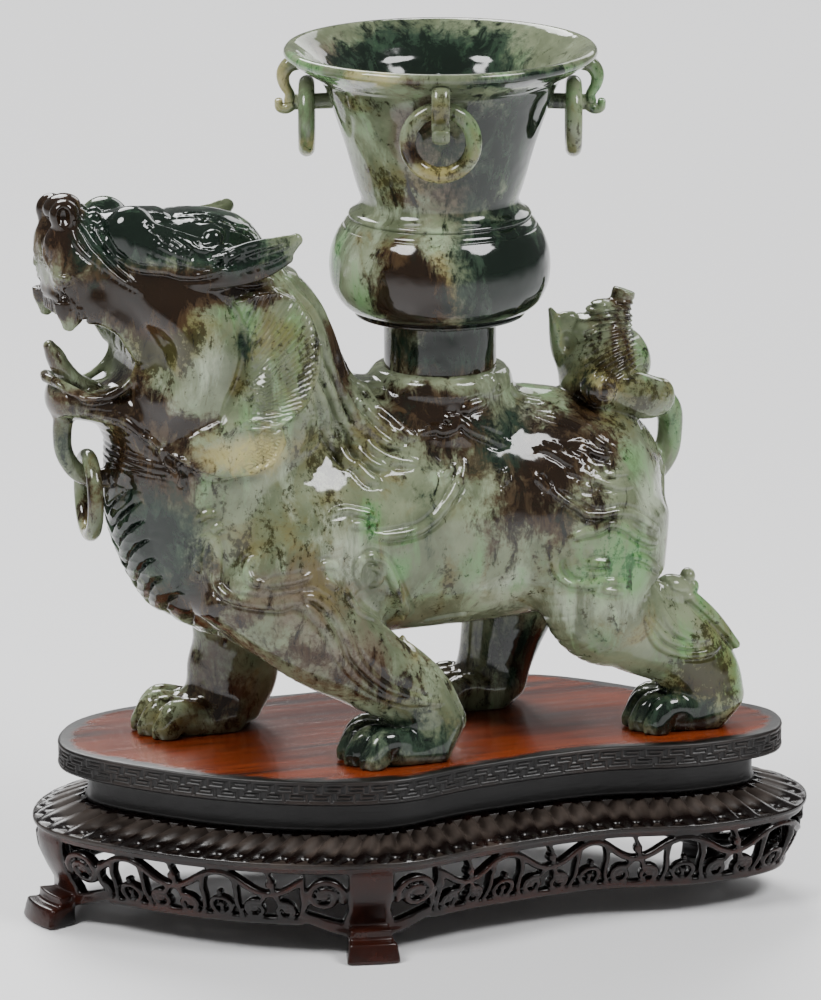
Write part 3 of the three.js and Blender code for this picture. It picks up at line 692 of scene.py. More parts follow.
CREASE = [
    [(-117, -11, 233.5), (-116, -10.5, 228.5), (-114, -12.5, 224), (-111.5, -15.5, 221),
     (-109, -17.5, 218), (-105.5, -19.5, 215), (-102.5, -21, 213), (-100, -21.5, 211)],
    [(-115.5, -12, 234), (-114, -10.5, 229), (-112, -13, 225.5), (-109.5, -16.5, 222.5),
     (-106.5, -18, 219), (-103, -20.5, 215), (-100.5, -21.5, 212.5)],
    [(-118.5, -11, 229), (-117.5, -12.5, 225.5), (-115, -14.5, 222.5), (-112, -16, 220), (-110, -17, 217)],
]
CREASE_GROOVE = [
    [(-116, -10, 233.5), (-115, -11, 229), (-113, -13, 225), (-110, -15, 221.5), (-107.5, -17, 218),
     (-104, -19.5, 215), (-101.5, -21.5, 212.5)],
    [(-113, -11, 233.5), (-111, -9.5, 229), (-109.5, -12, 226.5), (-107, -12, 223), (-104, -12, 219.5)],
]
MUZZLE = [
    [(-124.5, 2, 226.5), (-125, 2, 224), (-124.5, 1, 220.5), (-124, -2.5, 218.5), (-122, -2.5, 220),
     (-121, -2.5, 223)],
    [(-126, -4.5, 223), (-125.5, -5.5, 220), (-124.5, -7.5, 217.5), (-122.5, -7.5, 219),
     (-121.5, -7.5, 222)],
    [(-127, -10.5, 220.5), (-126, -10.5, 217.5), (-124, -10.5, 215.5), (-123, -12.5, 218)],
    [(-127, -14, 215), (-123.5, -13, 215.5), (-121.5, -15, 215), (-122.5, -12.5, 212)],
]
LIP = [
    [(-127, -8, 211.5), (-125, -10.5, 210.5), (-122, -10.5, 208.5), (-117.5, -10.5, 205.5),
     (-114, -9, 202), (-111, -8.5, 199), (-107, -7.5, 196), (-104.5, -8.5, 193.5), (-101.5, -9.5, 190.5),
     (-98.5, -9.5, 188), (-97, -9.5, 186.5)],
    [(-120.5, -14, 209), (-115.5, -12, 205), (-111, -12, 201.5), (-107.5, -12, 197.5),
     (-103.5, -12, 193.5), (-100.5, -12, 190)],
]
LIP_GROOVE = [
    [(-119.5, -5, 207.5), (-114.5, -5, 204), (-111, -5, 200.5), (-107, -3, 196.5), (-104, -4, 193.5),
     (-99.5, -1.5, 189), (-98, -3, 186)],
]
MOUTH = [
    [(-127.5, -8, 184), (-125, -10.5, 181.5), (-121, -10.5, 179), (-117.5, -13.5, 177.5),
     (-113, -15, 177.5), (-108, -15, 178)],
]
EAR_RIDGE = [
    [(-75, -30, 223), (-71, -30.5, 225), (-66, -31.5, 226.5), (-60, -32.5, 227.5), (-54, -34, 228)],
    [(-85.5, -28, 216), (-82, -29.5, 217), (-77.5, -30, 218.5), (-74, -30.5, 221), (-71.5, -31.5, 223)],
    [(-73.5, -26, 213), (-69, -26, 212), (-64, -26, 212), (-58.5, -23, 212.5), (-55, -26, 216.5),
     (-51, -24.5, 218.5)],
]
EAR_GROOVE = [
    [(-69.5, -31, 221.5), (-64.5, -31.5, 223.5), (-60, -32.5, 224.5), (-56, -34.5, 226)],
    [(-70, -31, 219.5), (-64.5, -31.5, 221), (-59.5, -33, 222.5), (-56, -34, 224)],
    [(-71.5, -31.5, 217), (-65.5, -32, 218.5), (-60, -33, 220), (-56.5, -34, 222)],
]
CHEEK_GROOVE = [
    [(-78, -28, 209.5), (-73.5, -28, 206), (-71, -29, 200.5), (-69.5, -29.5, 194), (-70, -30, 188),
     (-72, -30.5, 182), (-75, -30.5, 176), (-78, -31, 171)],
]
RUFF_RIM = [
    [(-62, -26, 210), (-55, -24, 209), (-50.5, -25.5, 206), (-46.5, -25, 200.5), (-45.5, -27.5, 195),
     (-45, -28.5, 189), (-46, -28.5, 182), (-47.5, -27.5, 175), (-52.5, -29.5, 170.5), (-59, -33.5, 168.5),
     (-67, -33.5, 168), (-72.5, -32, 169)],
    [(-58, -31.5, 165.5), (-59, -32, 161.5), (-62, -32, 157), (-67.5, -32.5, 154.5), (-73.5, -32.5, 153),
     (-80, -31, 153), (-85.5, -28.5, 154.5)],
]
JAW_RIDGE = [
    [(-118, -15, 171), (-111.5, -13.5, 171), (-106, -16, 170), (-100.5, -18.5, 166), (-95, -22, 161.5),
     (-88.5, -22, 156.5), (-83, -22, 152.5)],
]
JAW_GROOVE = [
    [(-104, -22, 167), (-98.5, -24.5, 162.5), (-92, -24.5, 157.5), (-87.5, -27.5, 153.5)],
]
SHOULDER = [
    [(-84.5, -28, 139), (-82, -29.5, 141), (-79, -30, 141)],
    [(-80, -28.5, 135), (-78.5, -30, 136.5), (-76.5, -30, 137)],
    [(-83.5, -27.5, 131.5), (-84, -26.5, 128.5), (-84, -25.5, 124.5), (-83, -24.5, 121.5)],
    [(-38, -34, 114), (-35.5, -33.5, 109.5), (-32.5, -33, 106), (-27.5, -30.5, 103), (-24.5, -32, 102.5)],
    [(-67.5, -32.5, 127), (-69.5, -32.5, 125.5), (-70.5, -33, 123.5), (-70, -34.5, 121),
     (-68.5, -35.5, 120), (-65.5, -36, 119)],
    [(-65.5, -36, 119), (-60.5, -37, 119.5), (-55, -37.5, 120), (-50.5, -36.5, 121)],
    [(-47.5, -36, 123), (-45.5, -36, 123.5), (-42.5, -35.5, 123), (-40.5, -34.5, 122)],
    [(-45.5, -36.5, 118.5), (-43.5, -36.5, 117.5), (-41.5, -35.5, 115.5)],
    [(-29, -30.5, 114), (-26.5, -31.5, 114.5), (-25.5, -32, 117.5), (-27, -32.5, 119.5), (-29, -32.5, 120)],
    [(-43, -32.5, 138), (-40.5, -32, 139), (-37, -32, 139.5), (-33.5, -32, 138.5), (-30, -32.5, 137.5),
     (-27.5, -32.5, 135.5)],
    [(-36, -33, 134.5), (-33.5, -33, 134.5), (-31.5, -32.5, 133.5)],
]
RIBBON = [
    [(-83.5, -27.5, 131.5), (-82.5, -28, 133.5), (-80.5, -29, 133.5), (-79, -29, 131.5), (-78.5, -29, 128),
     (-78.5, -28, 123), (-78, -27, 118), (-77, -31.5, 115.5), (-73, -34, 113.5), (-67, -36, 112.5),
     (-61, -37.5, 112), (-57, -38.5, 113), (-53, -39, 111.5), (-49, -40, 107.5), (-46, -40.5, 103.5),
     (-44, -41, 99), (-42.5, -41, 94.5), (-39, -40.5, 89.5), (-34.5, -39.5, 85), (-28.5, -39, 80.5),
     (-21, -38, 77.5), (-14, -37.5, 76), (-8, -37, 75)],
    [(-67, -35.5, 114.5), (-62, -37, 113.5), (-55.5, -38.5, 114), (-50, -38.5, 114), (-45, -39, 110.5),
     (-41.5, -39.5, 106), (-39.5, -40, 101), (-38, -40.5, 97), (-36, -40.5, 92.5), (-32, -40.5, 87.5),
     (-27, -40, 83), (-20, -39, 79.5), (-13.5, -38, 77), (-7, -36.5, 75.5)],
    [(-32, -31, 114), (-33.5, -32, 117), (-33.5, -33, 120.5), (-32, -33.5, 123), (-29, -33.5, 123.5),
     (-25.5, -33, 121.5), (-23, -32.5, 118), (-20.5, -30.5, 113), (-17, -27, 106), (-14, -26.5, 100),
     (-10.5, -26.5, 93), (-7, -28, 87), (-3.5, -29, 81), (-0.5, -31, 76), (1.5, -31.5, 71),
     (2.5, -31.5, 65.5)],
]
SHOULDER_GROOVE = [
    [(-23, -23.5, 111.5), (-21, -26.5, 107), (-18.5, -26.5, 101), (-15, -27, 94.5), (-13, -31.5, 89),
     (-10, -33.5, 83.5), (-6.5, -35, 78)],
]
FLANK = [
    [(-30.5, -33, 131.5), (-25, -33.5, 130), (-19, -33, 130), (-13, -33, 131), (-8.5, -32.5, 133.5),
     (-5, -32, 137), (-2, -31.5, 140.5), (0.5, -30.5, 144), (2.5, -28.5, 147), (3.5, -26.5, 150)],
    [(-4, -31.5, 138.5), (-1, -31, 142), (0.5, -29.5, 145)],
    [(-4, -28.5, 146), (-2.5, -28, 148), (0, -27, 149)],
    [(16.5, -29, 147), (16, -30.5, 144.5), (17, -30.5, 143)],
]
FLANK_GROOVE = [
    [(15, -28.5, 147), (14.5, -29.5, 144), (14.5, -31, 141)],
]
MANE = [
    [(-31.5, -10.5, 184.5), (-28, -10.5, 178), (-24, -10.5, 172), (-22, -16.5, 168.5), (-18.5, -20, 164.5),
     (-15, -22, 161), (-11, -23, 158)],
    [(-33, -16, 182.5), (-30.5, -18, 175.5), (-27.5, -18, 170.5), (-24, -19.5, 166), (-21, -21, 162.5),
     (-17.5, -22, 159.5), (-12.5, -23.5, 158)],
    [(-33.5, -19.5, 177), (-31.5, -20, 170.5), (-28, -21.5, 164.5), (-24, -22, 160), (-20, -23.5, 157.5),
     (-16, -23.5, 156)],
    [(-31, -19.5, 165.5), (-29.5, -21.5, 161), (-26, -23, 157), (-22.5, -24.5, 154), (-18.5, -26, 152.5),
     (-12, -26.5, 151)],
    [(-32.5, -21.5, 163), (-30.5, -21.5, 158), (-28.5, -24, 154.5), (-25.5, -26, 152), (-20.5, -26, 150)],
    [(-34, -27, 156), (-31, -26, 152), (-28.5, -28, 148.5), (-25, -29, 146)],
    [(-35.5, -21.5, 161), (-35, -23, 155.5), (-33.5, -25.5, 150.5)],
    [(-46, -13.5, 213.5), (-39, -12.5, 199.5), (-34.5, -14.5, 186.5), (-30.5, -14.5, 176),
     (-24, -14.5, 164.5)],
    [(-49, -20.5, 212), (-43, -20, 198), (-38.5, -21, 186), (-34, -20, 174.5), (-29, -21.5, 163.5)],
    [(-46, -23.5, 195.5), (-43, -25, 185.5), (-38, -22, 174), (-32.5, -21, 161.5)],
    [(-44.5, -26, 180), (-41, -23.5, 169.5), (-38, -25.5, 160), (-33, -25.5, 152)],
]
FOLD = [
    [(-26.5, -20.5, 175), (-18.5, -19, 165.5), (-15, -22, 161)],
    [(4.5, -23, 165), (8, -23, 166.5), (13, -21.5, 167)],
    [(-9.5, -22.5, 159.5), (-5, -24, 161), (-2.5, -25, 160), (1, -25, 161), (4, -25, 162)],
    [(-1.5, -22.5, 164), (1.5, -24, 163), (4.5, -25, 162)],
    [(2, -22.5, 164.5), (7, -26, 159.5), (13.5, -25.5, 156), (19, -25, 154)],
    [(11, -18.5, 176.5), (15, -18.5, 177.5), (16, -18.5, 174.5), (16, -20, 171)],
]
RUMP = [
    [(30, -17.5, 161), (36, -18.5, 159.5), (41.5, -20.5, 157.5), (46, -24, 155), (49, -26.5, 152.5),
     (53.5, -28, 149.5)],
    [(22.5, -11.5, 168.5), (27, -11, 166), (32.5, -11.5, 164), (36, -12.5, 163.5)],
    [(27.5, -26.5, 152), (31.5, -27, 151.5), (35, -29, 150), (38, -30.5, 147.5), (41, -32, 146),
     (44, -33, 144), (48.5, -34.5, 141), (53, -34.5, 139.5), (58, -32.5, 139)],
    [(31, -25.5, 153.5), (34.5, -27, 152), (37.5, -29, 150), (41.5, -30.5, 147.5), (44.5, -32.5, 146),
     (47.5, -33.5, 144), (52.5, -33, 143.5), (56.5, -31.5, 143)],
    [(37, -30, 153.5), (42, -29.5, 150.5), (44, -31, 148), (47, -32, 146), (51.5, -31.5, 144.5)],
    [(39, -26.5, 152.5), (43, -28, 152), (46, -29.5, 150.5), (49, -29.5, 149), (51.5, -29.5, 148.5)],
    [(36, -31, 145.5), (40, -32.5, 144.5), (42.5, -33.5, 143), (46, -34.5, 142), (50, -34.5, 141),
     (55.5, -32.5, 141)],
    [(40, -33.5, 141.5), (43, -34.5, 140), (39.5, -33.5, 141)],
    [(26, -30.5, 144.5), (28.5, -32, 141.5), (30, -32.5, 139.5)],
    [(31, -32, 140.5), (32, -33.5, 138.5), (35, -34.5, 136.5), (38.5, -35.5, 134), (41.5, -36.5, 132),
     (46.5, -37, 131.5), (51.5, -37, 132), (56.5, -36, 131), (61.5, -35, 128), (66.5, -32, 124),
     (69, -33.5, 122.5)],
    [(35.5, -35, 124), (40, -36.5, 126), (44.5, -37.5, 127), (48, -37.5, 128.5), (51, -37.5, 128),
     (55, -37, 126), (59, -36, 123), (65, -33.5, 120), (68.5, -35, 120)],
    [(69, -11.5, 140.5), (73, -11.5, 141.5), (76, -11.5, 139.5), (78, -11.5, 136.5)],
]
THIGH_GROOVE = [
    [(33.5, -32.5, 139), (36.5, -33.5, 136.5), (40, -34.5, 134.5), (43, -35.5, 133)],
    [(34.5, -33.5, 117.5), (35, -32.5, 114), (37, -33.5, 111), (40, -35, 110)],
    [(78.5, -29, 97.5), (82, -30, 94), (86.5, -29.5, 89.5), (91, -28, 84.5), (95, -28, 81)],
]
THIGH = [
    [(33, -32.5, 111.5), (35.5, -34, 109.5), (38.5, -35, 109), (42, -36.5, 109), (45.5, -37.5, 109.5),
     (49.5, -38, 109.5), (53.5, -37.5, 108.5)],
    [(44.5, -36.5, 107.5), (47.5, -38, 107), (52.5, -38, 106)],
    [(32, -33, 117.5), (32, -33, 114), (33.5, -33, 111), (36.5, -34, 109)],
    [(40.5, -36, 116), (44.5, -37, 116), (48.5, -37, 115.5)],
]
HOCK = [
    [(61, -36.5, 95.5), (63.5, -36.5, 90.5), (66.5, -36, 86.5), (70.5, -35.5, 84), (75, -35, 82.5),
     (80, -35, 82), (85.5, -33.5, 82.5), (88.5, -31.5, 83.5)],
    [(63.5, -36, 95.5), (66.5, -36, 91), (70.5, -35.5, 87.5), (75.5, -35, 85.5), (81, -33.5, 84.5)],
    [(67.5, -33.5, 99.5), (70.5, -35, 93.5), (75, -35, 89), (80, -34.5, 87), (84.5, -32.5, 86.5)],
    [(57, -36.5, 117), (61, -35.5, 115.5), (65.5, -33.5, 112.5), (69.5, -34.5, 110)],
    [(69, -29, 107), (69.5, -28.5, 104.5), (71, -29.5, 101.5), (76, -28.5, 99.5), (79.5, -30, 100.5)],
]
BELLY = [
    [(-7, -18, 95), (-4.5, -17.5, 96.5), (-1, -18, 97.5), (4.5, -18.5, 98), (10.5, -18.5, 98)],
]


def arc(centre, radius, start, end, count=9):
    """Part of a circle that faces the near side, between two angles in degrees from +X towards +Z."""
    angle = np.radians(np.linspace(start, end, count))
    x = centre[0] + radius * np.cos(angle)
    z = centre[2] + radius * np.sin(angle)
    return np.stack([x, np.full(count, centre[1]), z], 1)


def chest_ribs(points):
    """Height of the rolls of skin across the breast, which slope up on both sides of its keel: a full
    roll between narrow slots, 2.3 (0.6 - |2 f - 1|^4), where f is the share of the way between slots."""
    x, y, z = points.T
    steps = (z - RIB_LEAN * np.abs(y) - 100.4) / RIB_PITCH
    share = steps - np.floor(steps)
    fade = ((z - 97) / 4).clip(0, 1) * ((148 - z) / 8).clip(0, 1) * ((17.5 - np.abs(y)) / 3).clip(0, 1)
    fade *= ((-66 - x) / 4).clip(0, 1)
    return fade * 2.3 * (0.6 - np.abs(2 * share - 1)**4)


def tail_hair():
    """Rings round the ball of the tail, and the strands that leave it for the end of the fan."""
    rings = [arc((54, -18, 166.4), radius, 20, 340, 15) for radius in (3.4, 5.4)]
    fan = []
    for k in range(9):
        rise = 4.2 - 1.1 * k
        fan.append([(58.5, -16, 166.4 + 0.7 * rise), (66, -16, 163.8 + 1.1 * rise),
                    (73, -15, 161 + 1.35 * rise), (80, -11, 158.6 + 1.4 * rise)])
    return rings, fan


def lion_strokes():
    """Every line that is carved on the lion, as (points, width, height)."""
    rings, fan = tail_hair()
    fine = [(BROW, 0.85, -0.7), (SKULL, 0.85, -0.7), (EYE_GROOVE, 1.3, -1.0), (EYE_RIM, 1.5, 1.0),
            (CREASE, 1.1, 0.9), (CREASE_GROOVE, 1.0, -0.8), (MUZZLE, 1.2, 0.9), (LIP, 1.1, 0.9),
            (LIP_GROOVE, 0.9, -0.7), (MOUTH, 1.2, 0.8), (EAR_RIDGE, 1.2, 0.9), (EAR_GROOVE, 1.1, -0.9),
            (CHEEK_GROOVE, 2.2, -2.4), (RUFF_RIM, 1.3, 0.7), (JAW_RIDGE, 1.5, 1.1), (JAW_GROOVE, 1.3, -1.0)]
    broad = [(SHOULDER, 1.7, 1.3), (FLANK, 1.9, 1.5), (FLANK_GROOVE, 1.6, -1.1), (MANE, 2.4, 1.9),
             (FOLD, 2.0, 1.5), (RUMP, 1.7, 1.5), (THIGH, 1.7, 1.2), (THIGH_GROOVE, 1.6, -1.1),
             (BELLY, 1.6, 1.1)]
    near_only = [(RIBBON, 1.9, 1.6), (SHOULDER_GROOVE, 1.9, -1.3), (HOCK, 1.7, 1.2)]
    both_sides = [(points, width, height) for group, width, height in fine + broad for points in group]
    far = [(np.array(points) * (1, -1, 1), width, height) for points, width, height in both_sides]
    near = both_sides + [(points, width, height) for group, width, height in near_only for points in group]
    tail = [(points, 1.1, 0.7) for points in rings] + [(points, 0.9, -0.9) for points in fan]
    return near + far + tail


def lion_carving():
    """Every step of the carving, from the masses to the finest lines."""
    clay = Carving()
    carve_body(clay)
    carve_head(clay)
    carve_ruff(clay)
    carve_socket(clay)
    carve_tail(clay)
    for stations, toe, y, spread in LEGS.values():
        carve_leg(clay, stations, toe, y, spread)
    carve_hock(clay)
    clay.engrave(lion_strokes())
    clay.relief((40, -18, 166), (74, 18, 192), plume_coils)
    clay.relief((-112, -18, 96), (-64, 18, 150), chest_ribs)
    finish_stone(clay)
    return clay


def plume_coils(points):
    """Height of the coils round the tail's plume, 0.55 cos(2 pi t / 2), which climb to the right and
    turn level near the top, fading out at the smooth lobe on the right, above and below."""
    x, _, z = points.T
    fade = ((72 - x) / 4).clip(0, 1) * ((x - 50) / 3).clip(0, 1)
    fade *= ((z - 168) / 4).clip(0, 1) * ((193 - z) / 3).clip(0, 1)
    climb = 0.45 * ((186 - z) / 12).clip(0, 1)
    return 0.55 * fade * np.cos(np.pi * (z - climb * (x - 58) + 0.02 * (x - 60)**2))


def finish_stone(clay):
    """Flat soles, and the bore that the vase's stem fills."""
    clay.step((-140, -60, 30), (120, 60, SOLE + 2), 0, lambda field, p: np.maximum(field, SOLE - p[:, 2]))
    clay.cut(drum((SOCKET_X, 0, 175), 17.3, 7, 2), 0.8)


def decimated(name, vertices, faces, most):
    """Vertices and triangles of a mesh thinned to at most `most` triangles, flattest places first."""
    mesh = bpy.data.meshes.new(name + "_dense")
    fill_mesh(mesh, vertices, faces)
    dense = bpy.data.objects.new(name + "_dense", mesh)
    bpy.context.scene.collection.objects.link(dense)
    thin = dense.modifiers.new("thin", "DECIMATE")
    thin.ratio = min(1, most / (2 * len(faces)))
    dense.modifiers.new("triangles", "TRIANGULATE")
    result = dense.evaluated_get(bpy.context.evaluated_depsgraph_get()).to_mesh()
    points = np.zeros(len(result.vertices) * 3, np.float32)
    result.vertices.foreach_get("co", points)
    corners = np.zeros(len(result.loops), np.int32)
    result.loops.foreach_get("vertex_index", corners)
    bpy.data.objects.remove(dense)
    bpy.data.meshes.remove(mesh)
    return points.reshape(-1, 3).astype(float), corners.reshape(-1, 3)


def fill_mesh(mesh, vertices, faces):
    """Puts an array of vertices and one of equal-sided faces into a mesh."""
    sides = faces.shape[1]
    mesh.vertices.add(len(vertices))
    mesh.vertices.foreach_set("co", np.ascontiguousarray(vertices, np.float32).ravel())
    mesh.loops.add(faces.size)
    mesh.loops.foreach_set("vertex_index", np.ascontiguousarray(faces, np.int32).ravel())
    mesh.polygons.add(len(faces))
    mesh.polygons.foreach_set("loop_start", np.arange(0, faces.size, sides, dtype=np.int32))
    mesh.update(calc_edges=True)
    mesh.validate()


def make_piece(name, vertices, faces, material, nodes, normals=None, masks=None):
    """A finished piece from points in millimetres. It rides on the part's one body, stands for the
    named nodes, and carries each mask as a value on its vertices."""
    mesh = bpy.data.meshes.new(name)
    fill_mesh(mesh, np.asarray(vertices) * MM, faces)
    mesh.shade_smooth()
    if normals is not None:
        mesh.normals_split_custom_set_from_vertices(unit(normals))
    for title, values in (masks or {}).items():
        carried = mesh.attributes.new(title, "FLOAT", "POINT")
        carried.data.foreach_set("value", np.asarray(values, np.float32))
    mesh.materials.append(material)
    piece = bpy.data.objects.new(name, mesh)
    bpy.context.scene.collection.objects.link(piece)
    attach(piece, "root")
    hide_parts(*nodes)
    return piece


def make_lion(material):
    """The lion: the carving's zero surface, thinned, then set back on the surface by two Newton
    steps, p - f g / |g|^2, with the field's gradient as its normals."""
    clay = lion_carving()
    vertices, faces = zero_surface(clay.value, (-132, -46, SOLE - 2), (102, 46, 244), LION_PITCH)
    points, triangles = decimated("lion", vertices, faces, LION_TRIANGLES)
    for _ in range(2):
        slope = clay.slope(points)
        step = clay.value(points) / np.maximum((slope**2).sum(1), 0.2)
        points -= np.clip(step, -0.4, 0.4)[:, None] * slope
    normals = clay.slope(points)
    blobs = [(tint, place[:3], (place[3], BLOB_WIDTH, place[4]), place[5])
             for tint, places in LION_TINTS.items() for place in places]
    masks = blob_masks(points, blobs)
    return make_piece("lion_body", points + LION_AT, triangles, material, ["lion"],
                      normals, masks)


def srgb(code):
    """A colour written as six hexadecimal digits, as linear red, green, blue and alpha."""
    parts = [int(code[i:i + 2], 16) / 255 for i in (0, 2, 4)]
    return (*[c / 12.92 if c <= 0.04045 else ((c + 0.055) / 1.055)**2.4 for c in parts], 1.0)


class Socket:
    """An output in a material's node tree. Arithmetic on it adds the Math nodes."""

    def __init__(self, paint, link):
        self.paint = paint
        self.link = link

    def math(self, operation, *others):
        """A Math node fed by this socket and by other sockets or numbers."""
        values = {i: v for i, v in enumerate((self, *others))}
        return self.paint.node("ShaderNodeMath", {"operation": operation}, values)

    def __add__(self, other):
        return self.math("ADD", other)

    def __mul__(self, other):
        return self.math("MULTIPLY", other)

    def __sub__(self, other):
        return self.math("SUBTRACT", other)

    def __rsub__(self, other):
        return self.paint.node("ShaderNodeMath", {"operation": "SUBTRACT"}, {0: other, 1: self})

    __radd__ = __add__
    __rmul__ = __mul__

    def between(self, low, high):
        """0 below low, 1 above high, and a smooth step between."""
        return self.paint.node("ShaderNodeMapRange", {"interpolation_type": "SMOOTHSTEP"},
                               {"Value": self, "From Min": low, "From Max": high})


class Paint:
    """The node tree of one material."""

    def __init__(self, name):
        self.material = bpy.data.materials.new(name)
        self.material.use_nodes = True
        self.tree = self.material.node_tree
        self.shader = self.tree.nodes["Principled BSDF"]

    def node(self, kind, settings, values, output=0):
        """One node: its settings first, then a value or a link for each named input."""
        made = self.tree.nodes.new(kind)
        for key, value in settings.items():
            setattr(made, key, value)
        for key, value in values.items():
            self.set(made.inputs[key], value)
        return Socket(self, made.outputs[output])

    def set(self, target, value):
        """Gives an input a value, or links an output to it."""
        if isinstance(value, Socket):
            self.tree.links.new(value.link, target)
        else:
            target.default_value = value

    def finish(self, **values):
        """Sets the shader's own sockets, named with underscores for spaces."""
        for key, value in values.items():
            self.set(self.shader.inputs[key.replace("_", " ")], value)
        return self.material

    def places(self, stretch=(1, 1, 1), turn=(0, 0, 0)):
        """Object coordinates in metres, stretched and turned in degrees."""
        where = self.node("ShaderNodeTexCoord", {}, {}, "Object")
        turn = [math.radians(v) for v in turn]
        return self.node("ShaderNodeMapping", {}, {"Vector": where, "Rotation": turn, "Scale": stretch})

    def noise(self, where, size, detail=4.0, rough=0.55, bend=0.0):
        """Cloudy noise, mostly from 0 to 1, whose largest features are about `size` millimetres."""
        raw = self.node("ShaderNodeTexNoise", {}, {"Vector": where, "Scale": 1000.0 / size, "Detail": detail,
                                                   "Roughness": rough, "Distortion": bend}, "Fac")
        return (raw - 0.5) * 2.2 + 0.5

    def mask(self, name):
        """A value carried on the piece's vertices."""
        return self.node("ShaderNodeAttribute", {"attribute_name": name}, {}, "Fac")

    def mix(self, share, first, second):
        """The second colour over the first, by a share from 0 to 1. The node's sockets go by number,
        because its number, vector and colour sockets have the same names."""
        made = self.tree.nodes.new("ShaderNodeMix")
        made.data_type = "RGBA"
        self.set(made.inputs[0], share)
        self.set(made.inputs[6], first)
        self.set(made.inputs[7], second)
        return Socket(self, made.outputs[2])

    def bump(self, height, distance, strength=1.0):
        """A normal for a height from 0 to 1 that stands for `distance` millimetres."""
        return self.node("ShaderNodeBump", {}, {"Height": height, "Distance": distance * MM,
                                                "Strength": strength}, "Normal")


JADE_TINTS = ("green", "dark", "brown", "olive", "cream", "mauve", "pale")


def jade_material(name):
    """Polished jade: milky stone clouded with green, flecked with olive and stained with brown. Each
    tint's share rises softly with its mask plus some noise, and fine flecks break up every area. On the
    lion the olive, brown and dark masks also carry painted shade in creases and under the ear."""
    p = Paint(name)
    where = p.places()
    steep = p.places(stretch=(1, 1, 0.4), turn=(0, 20, 0))
    cloud = p.noise(where, 26, 8, 0.6, 0.4)
    mottle = p.noise(steep, 11, 9, 0.68, 0.4)
    streak = p.noise(steep, 5, 8, 0.72, 0.6)
    patch = p.noise(where, 16, 7, 0.66, 0.8)
    fleck = p.noise(where, 1.9, 4, 0.7)
    grain = streak * 0.55 + fleck * 0.45

    def over(colour, tint, noise, wander, low, high, share, code, base=0.0):
        """Another tint over the colour."""
        raw = p.mask(tint) + base + (noise - 0.5) * wander
        return p.mix(raw.between(low, high) * share, colour, srgb(code))

    colour = p.mix(cloud.between(0.15, 0.85), srgb("59614a"), srgb("838c70"))
    colour = p.mix(mottle.between(0.5, 1.0) * 0.65, colour, srgb("a9b199"))
    colour = p.mix(streak.between(0.55, 1.0) * 0.55, colour, srgb("434d30"))
    colour = over(colour, "pale", mottle, 1.2, 0.2, 1.0, 0.85, "b6c0a8")
    colour = over(colour, "mauve", patch, 1.1, 0.2, 1.0, 0.9, "695d4f")
    colour = over(colour, "mauve", grain, 1.8, 0.6, 1.3, 0.7, "3e3229")
    colour = over(colour, "cream", patch, 1.2, 0.25, 1.0, 0.8, "b5ab74")
    colour = over(colour, "green", mottle, 1.6, 0.2, 1.1, 0.8, "66945a")
    colour = over(colour, "green", grain, 2.6, 0.7, 1.3, 0.85, "24592a")
    # The olive, brown and dark tints below carry the stone's own colour and, on the lion, painted shade in
    # creases and under the ear.
    colour = over(colour, "olive", patch, 1.3, 0.3, 1.1, 0.65, "685f30", 0.1)
    colour = over(colour, "olive", grain, 2.8, 0.62, 1.15, 0.85, "2b280f", 0.14)
    colour = over(colour, "brown", patch * 0.5 + grain * 0.5, 2.0, 0.3, 0.95, 0.93, "402d1d", 0.06)
    colour = over(colour, "brown", streak, 2.0, 0.5, 1.2, 0.9, "1b110a", 0.05)
    colour = over(colour, "dark", patch * 0.5 + grain * 0.5, 1.5, 0.25, 0.9, 0.93, "24382c")
    colour = over(colour, "dark", streak, 2.0, 0.4, 1.2, 0.9, "0e1712")
    colour = p.mix(fleck.between(0.82, 1.0) * 0.75, colour, srgb("20230f"))
    wave = p.noise(where, 14, 2, 0.5)
    return p.finish(Base_Color=colour, Roughness=mottle * 0.05 + 0.05, IOR=1.52,
                    Subsurface_Weight=0.06, Subsurface_Radius=(1.0, 1.2, 0.8), Subsurface_Scale=0.003,
                    Normal=p.bump(wave, 0.3))


def board_material():
    """Red-brown hardwood polished on top, with dark grain along X, stained near black at the edge."""
    p = Paint("board_stain")
    long_way = p.places(stretch=(0.07, 1, 1), turn=(0, 0, 2))
    broad = p.noise(long_way, 22, 4, 0.6, 1.2)
    grain = p.noise(long_way, 3.6, 6, 0.66, 0.6)
    pores = p.noise(p.places(stretch=(0.05, 1, 1)), 0.9, 2, 0.5)
    smudge = p.noise(p.places(), 26, 4, 0.6)
    colour = p.mix(broad.between(0.2, 0.85), srgb("7c3314"), srgb("4b1a0b"))
    colour = p.mix((grain * 0.7 + broad * 0.3).between(0.52, 0.8) * 0.85, colour, srgb("1f0b06"))
    colour = p.mix(pores.between(0.62, 0.8) * 0.6, colour, srgb("160805"))
    stain = (p.mask("stain") + (smudge - 0.5) * 0.5 + (grain - 0.5) * 0.25).between(0.36, 0.68)
    edge = p.mix(p.mask("worn") * (smudge.between(0.3, 0.8)), srgb("090605"), srgb("1e130d"))
    colour = p.mix(stain, colour, edge)
    return p.finish(Base_Color=colour, Roughness=stain * 0.16 + 0.2 + grain * 0.08, IOR=1.45,
                    Coat_Weight=(1 - stain) * 0.3, Coat_Roughness=0.08, Normal=p.bump(grain, 0.12, 0.6))


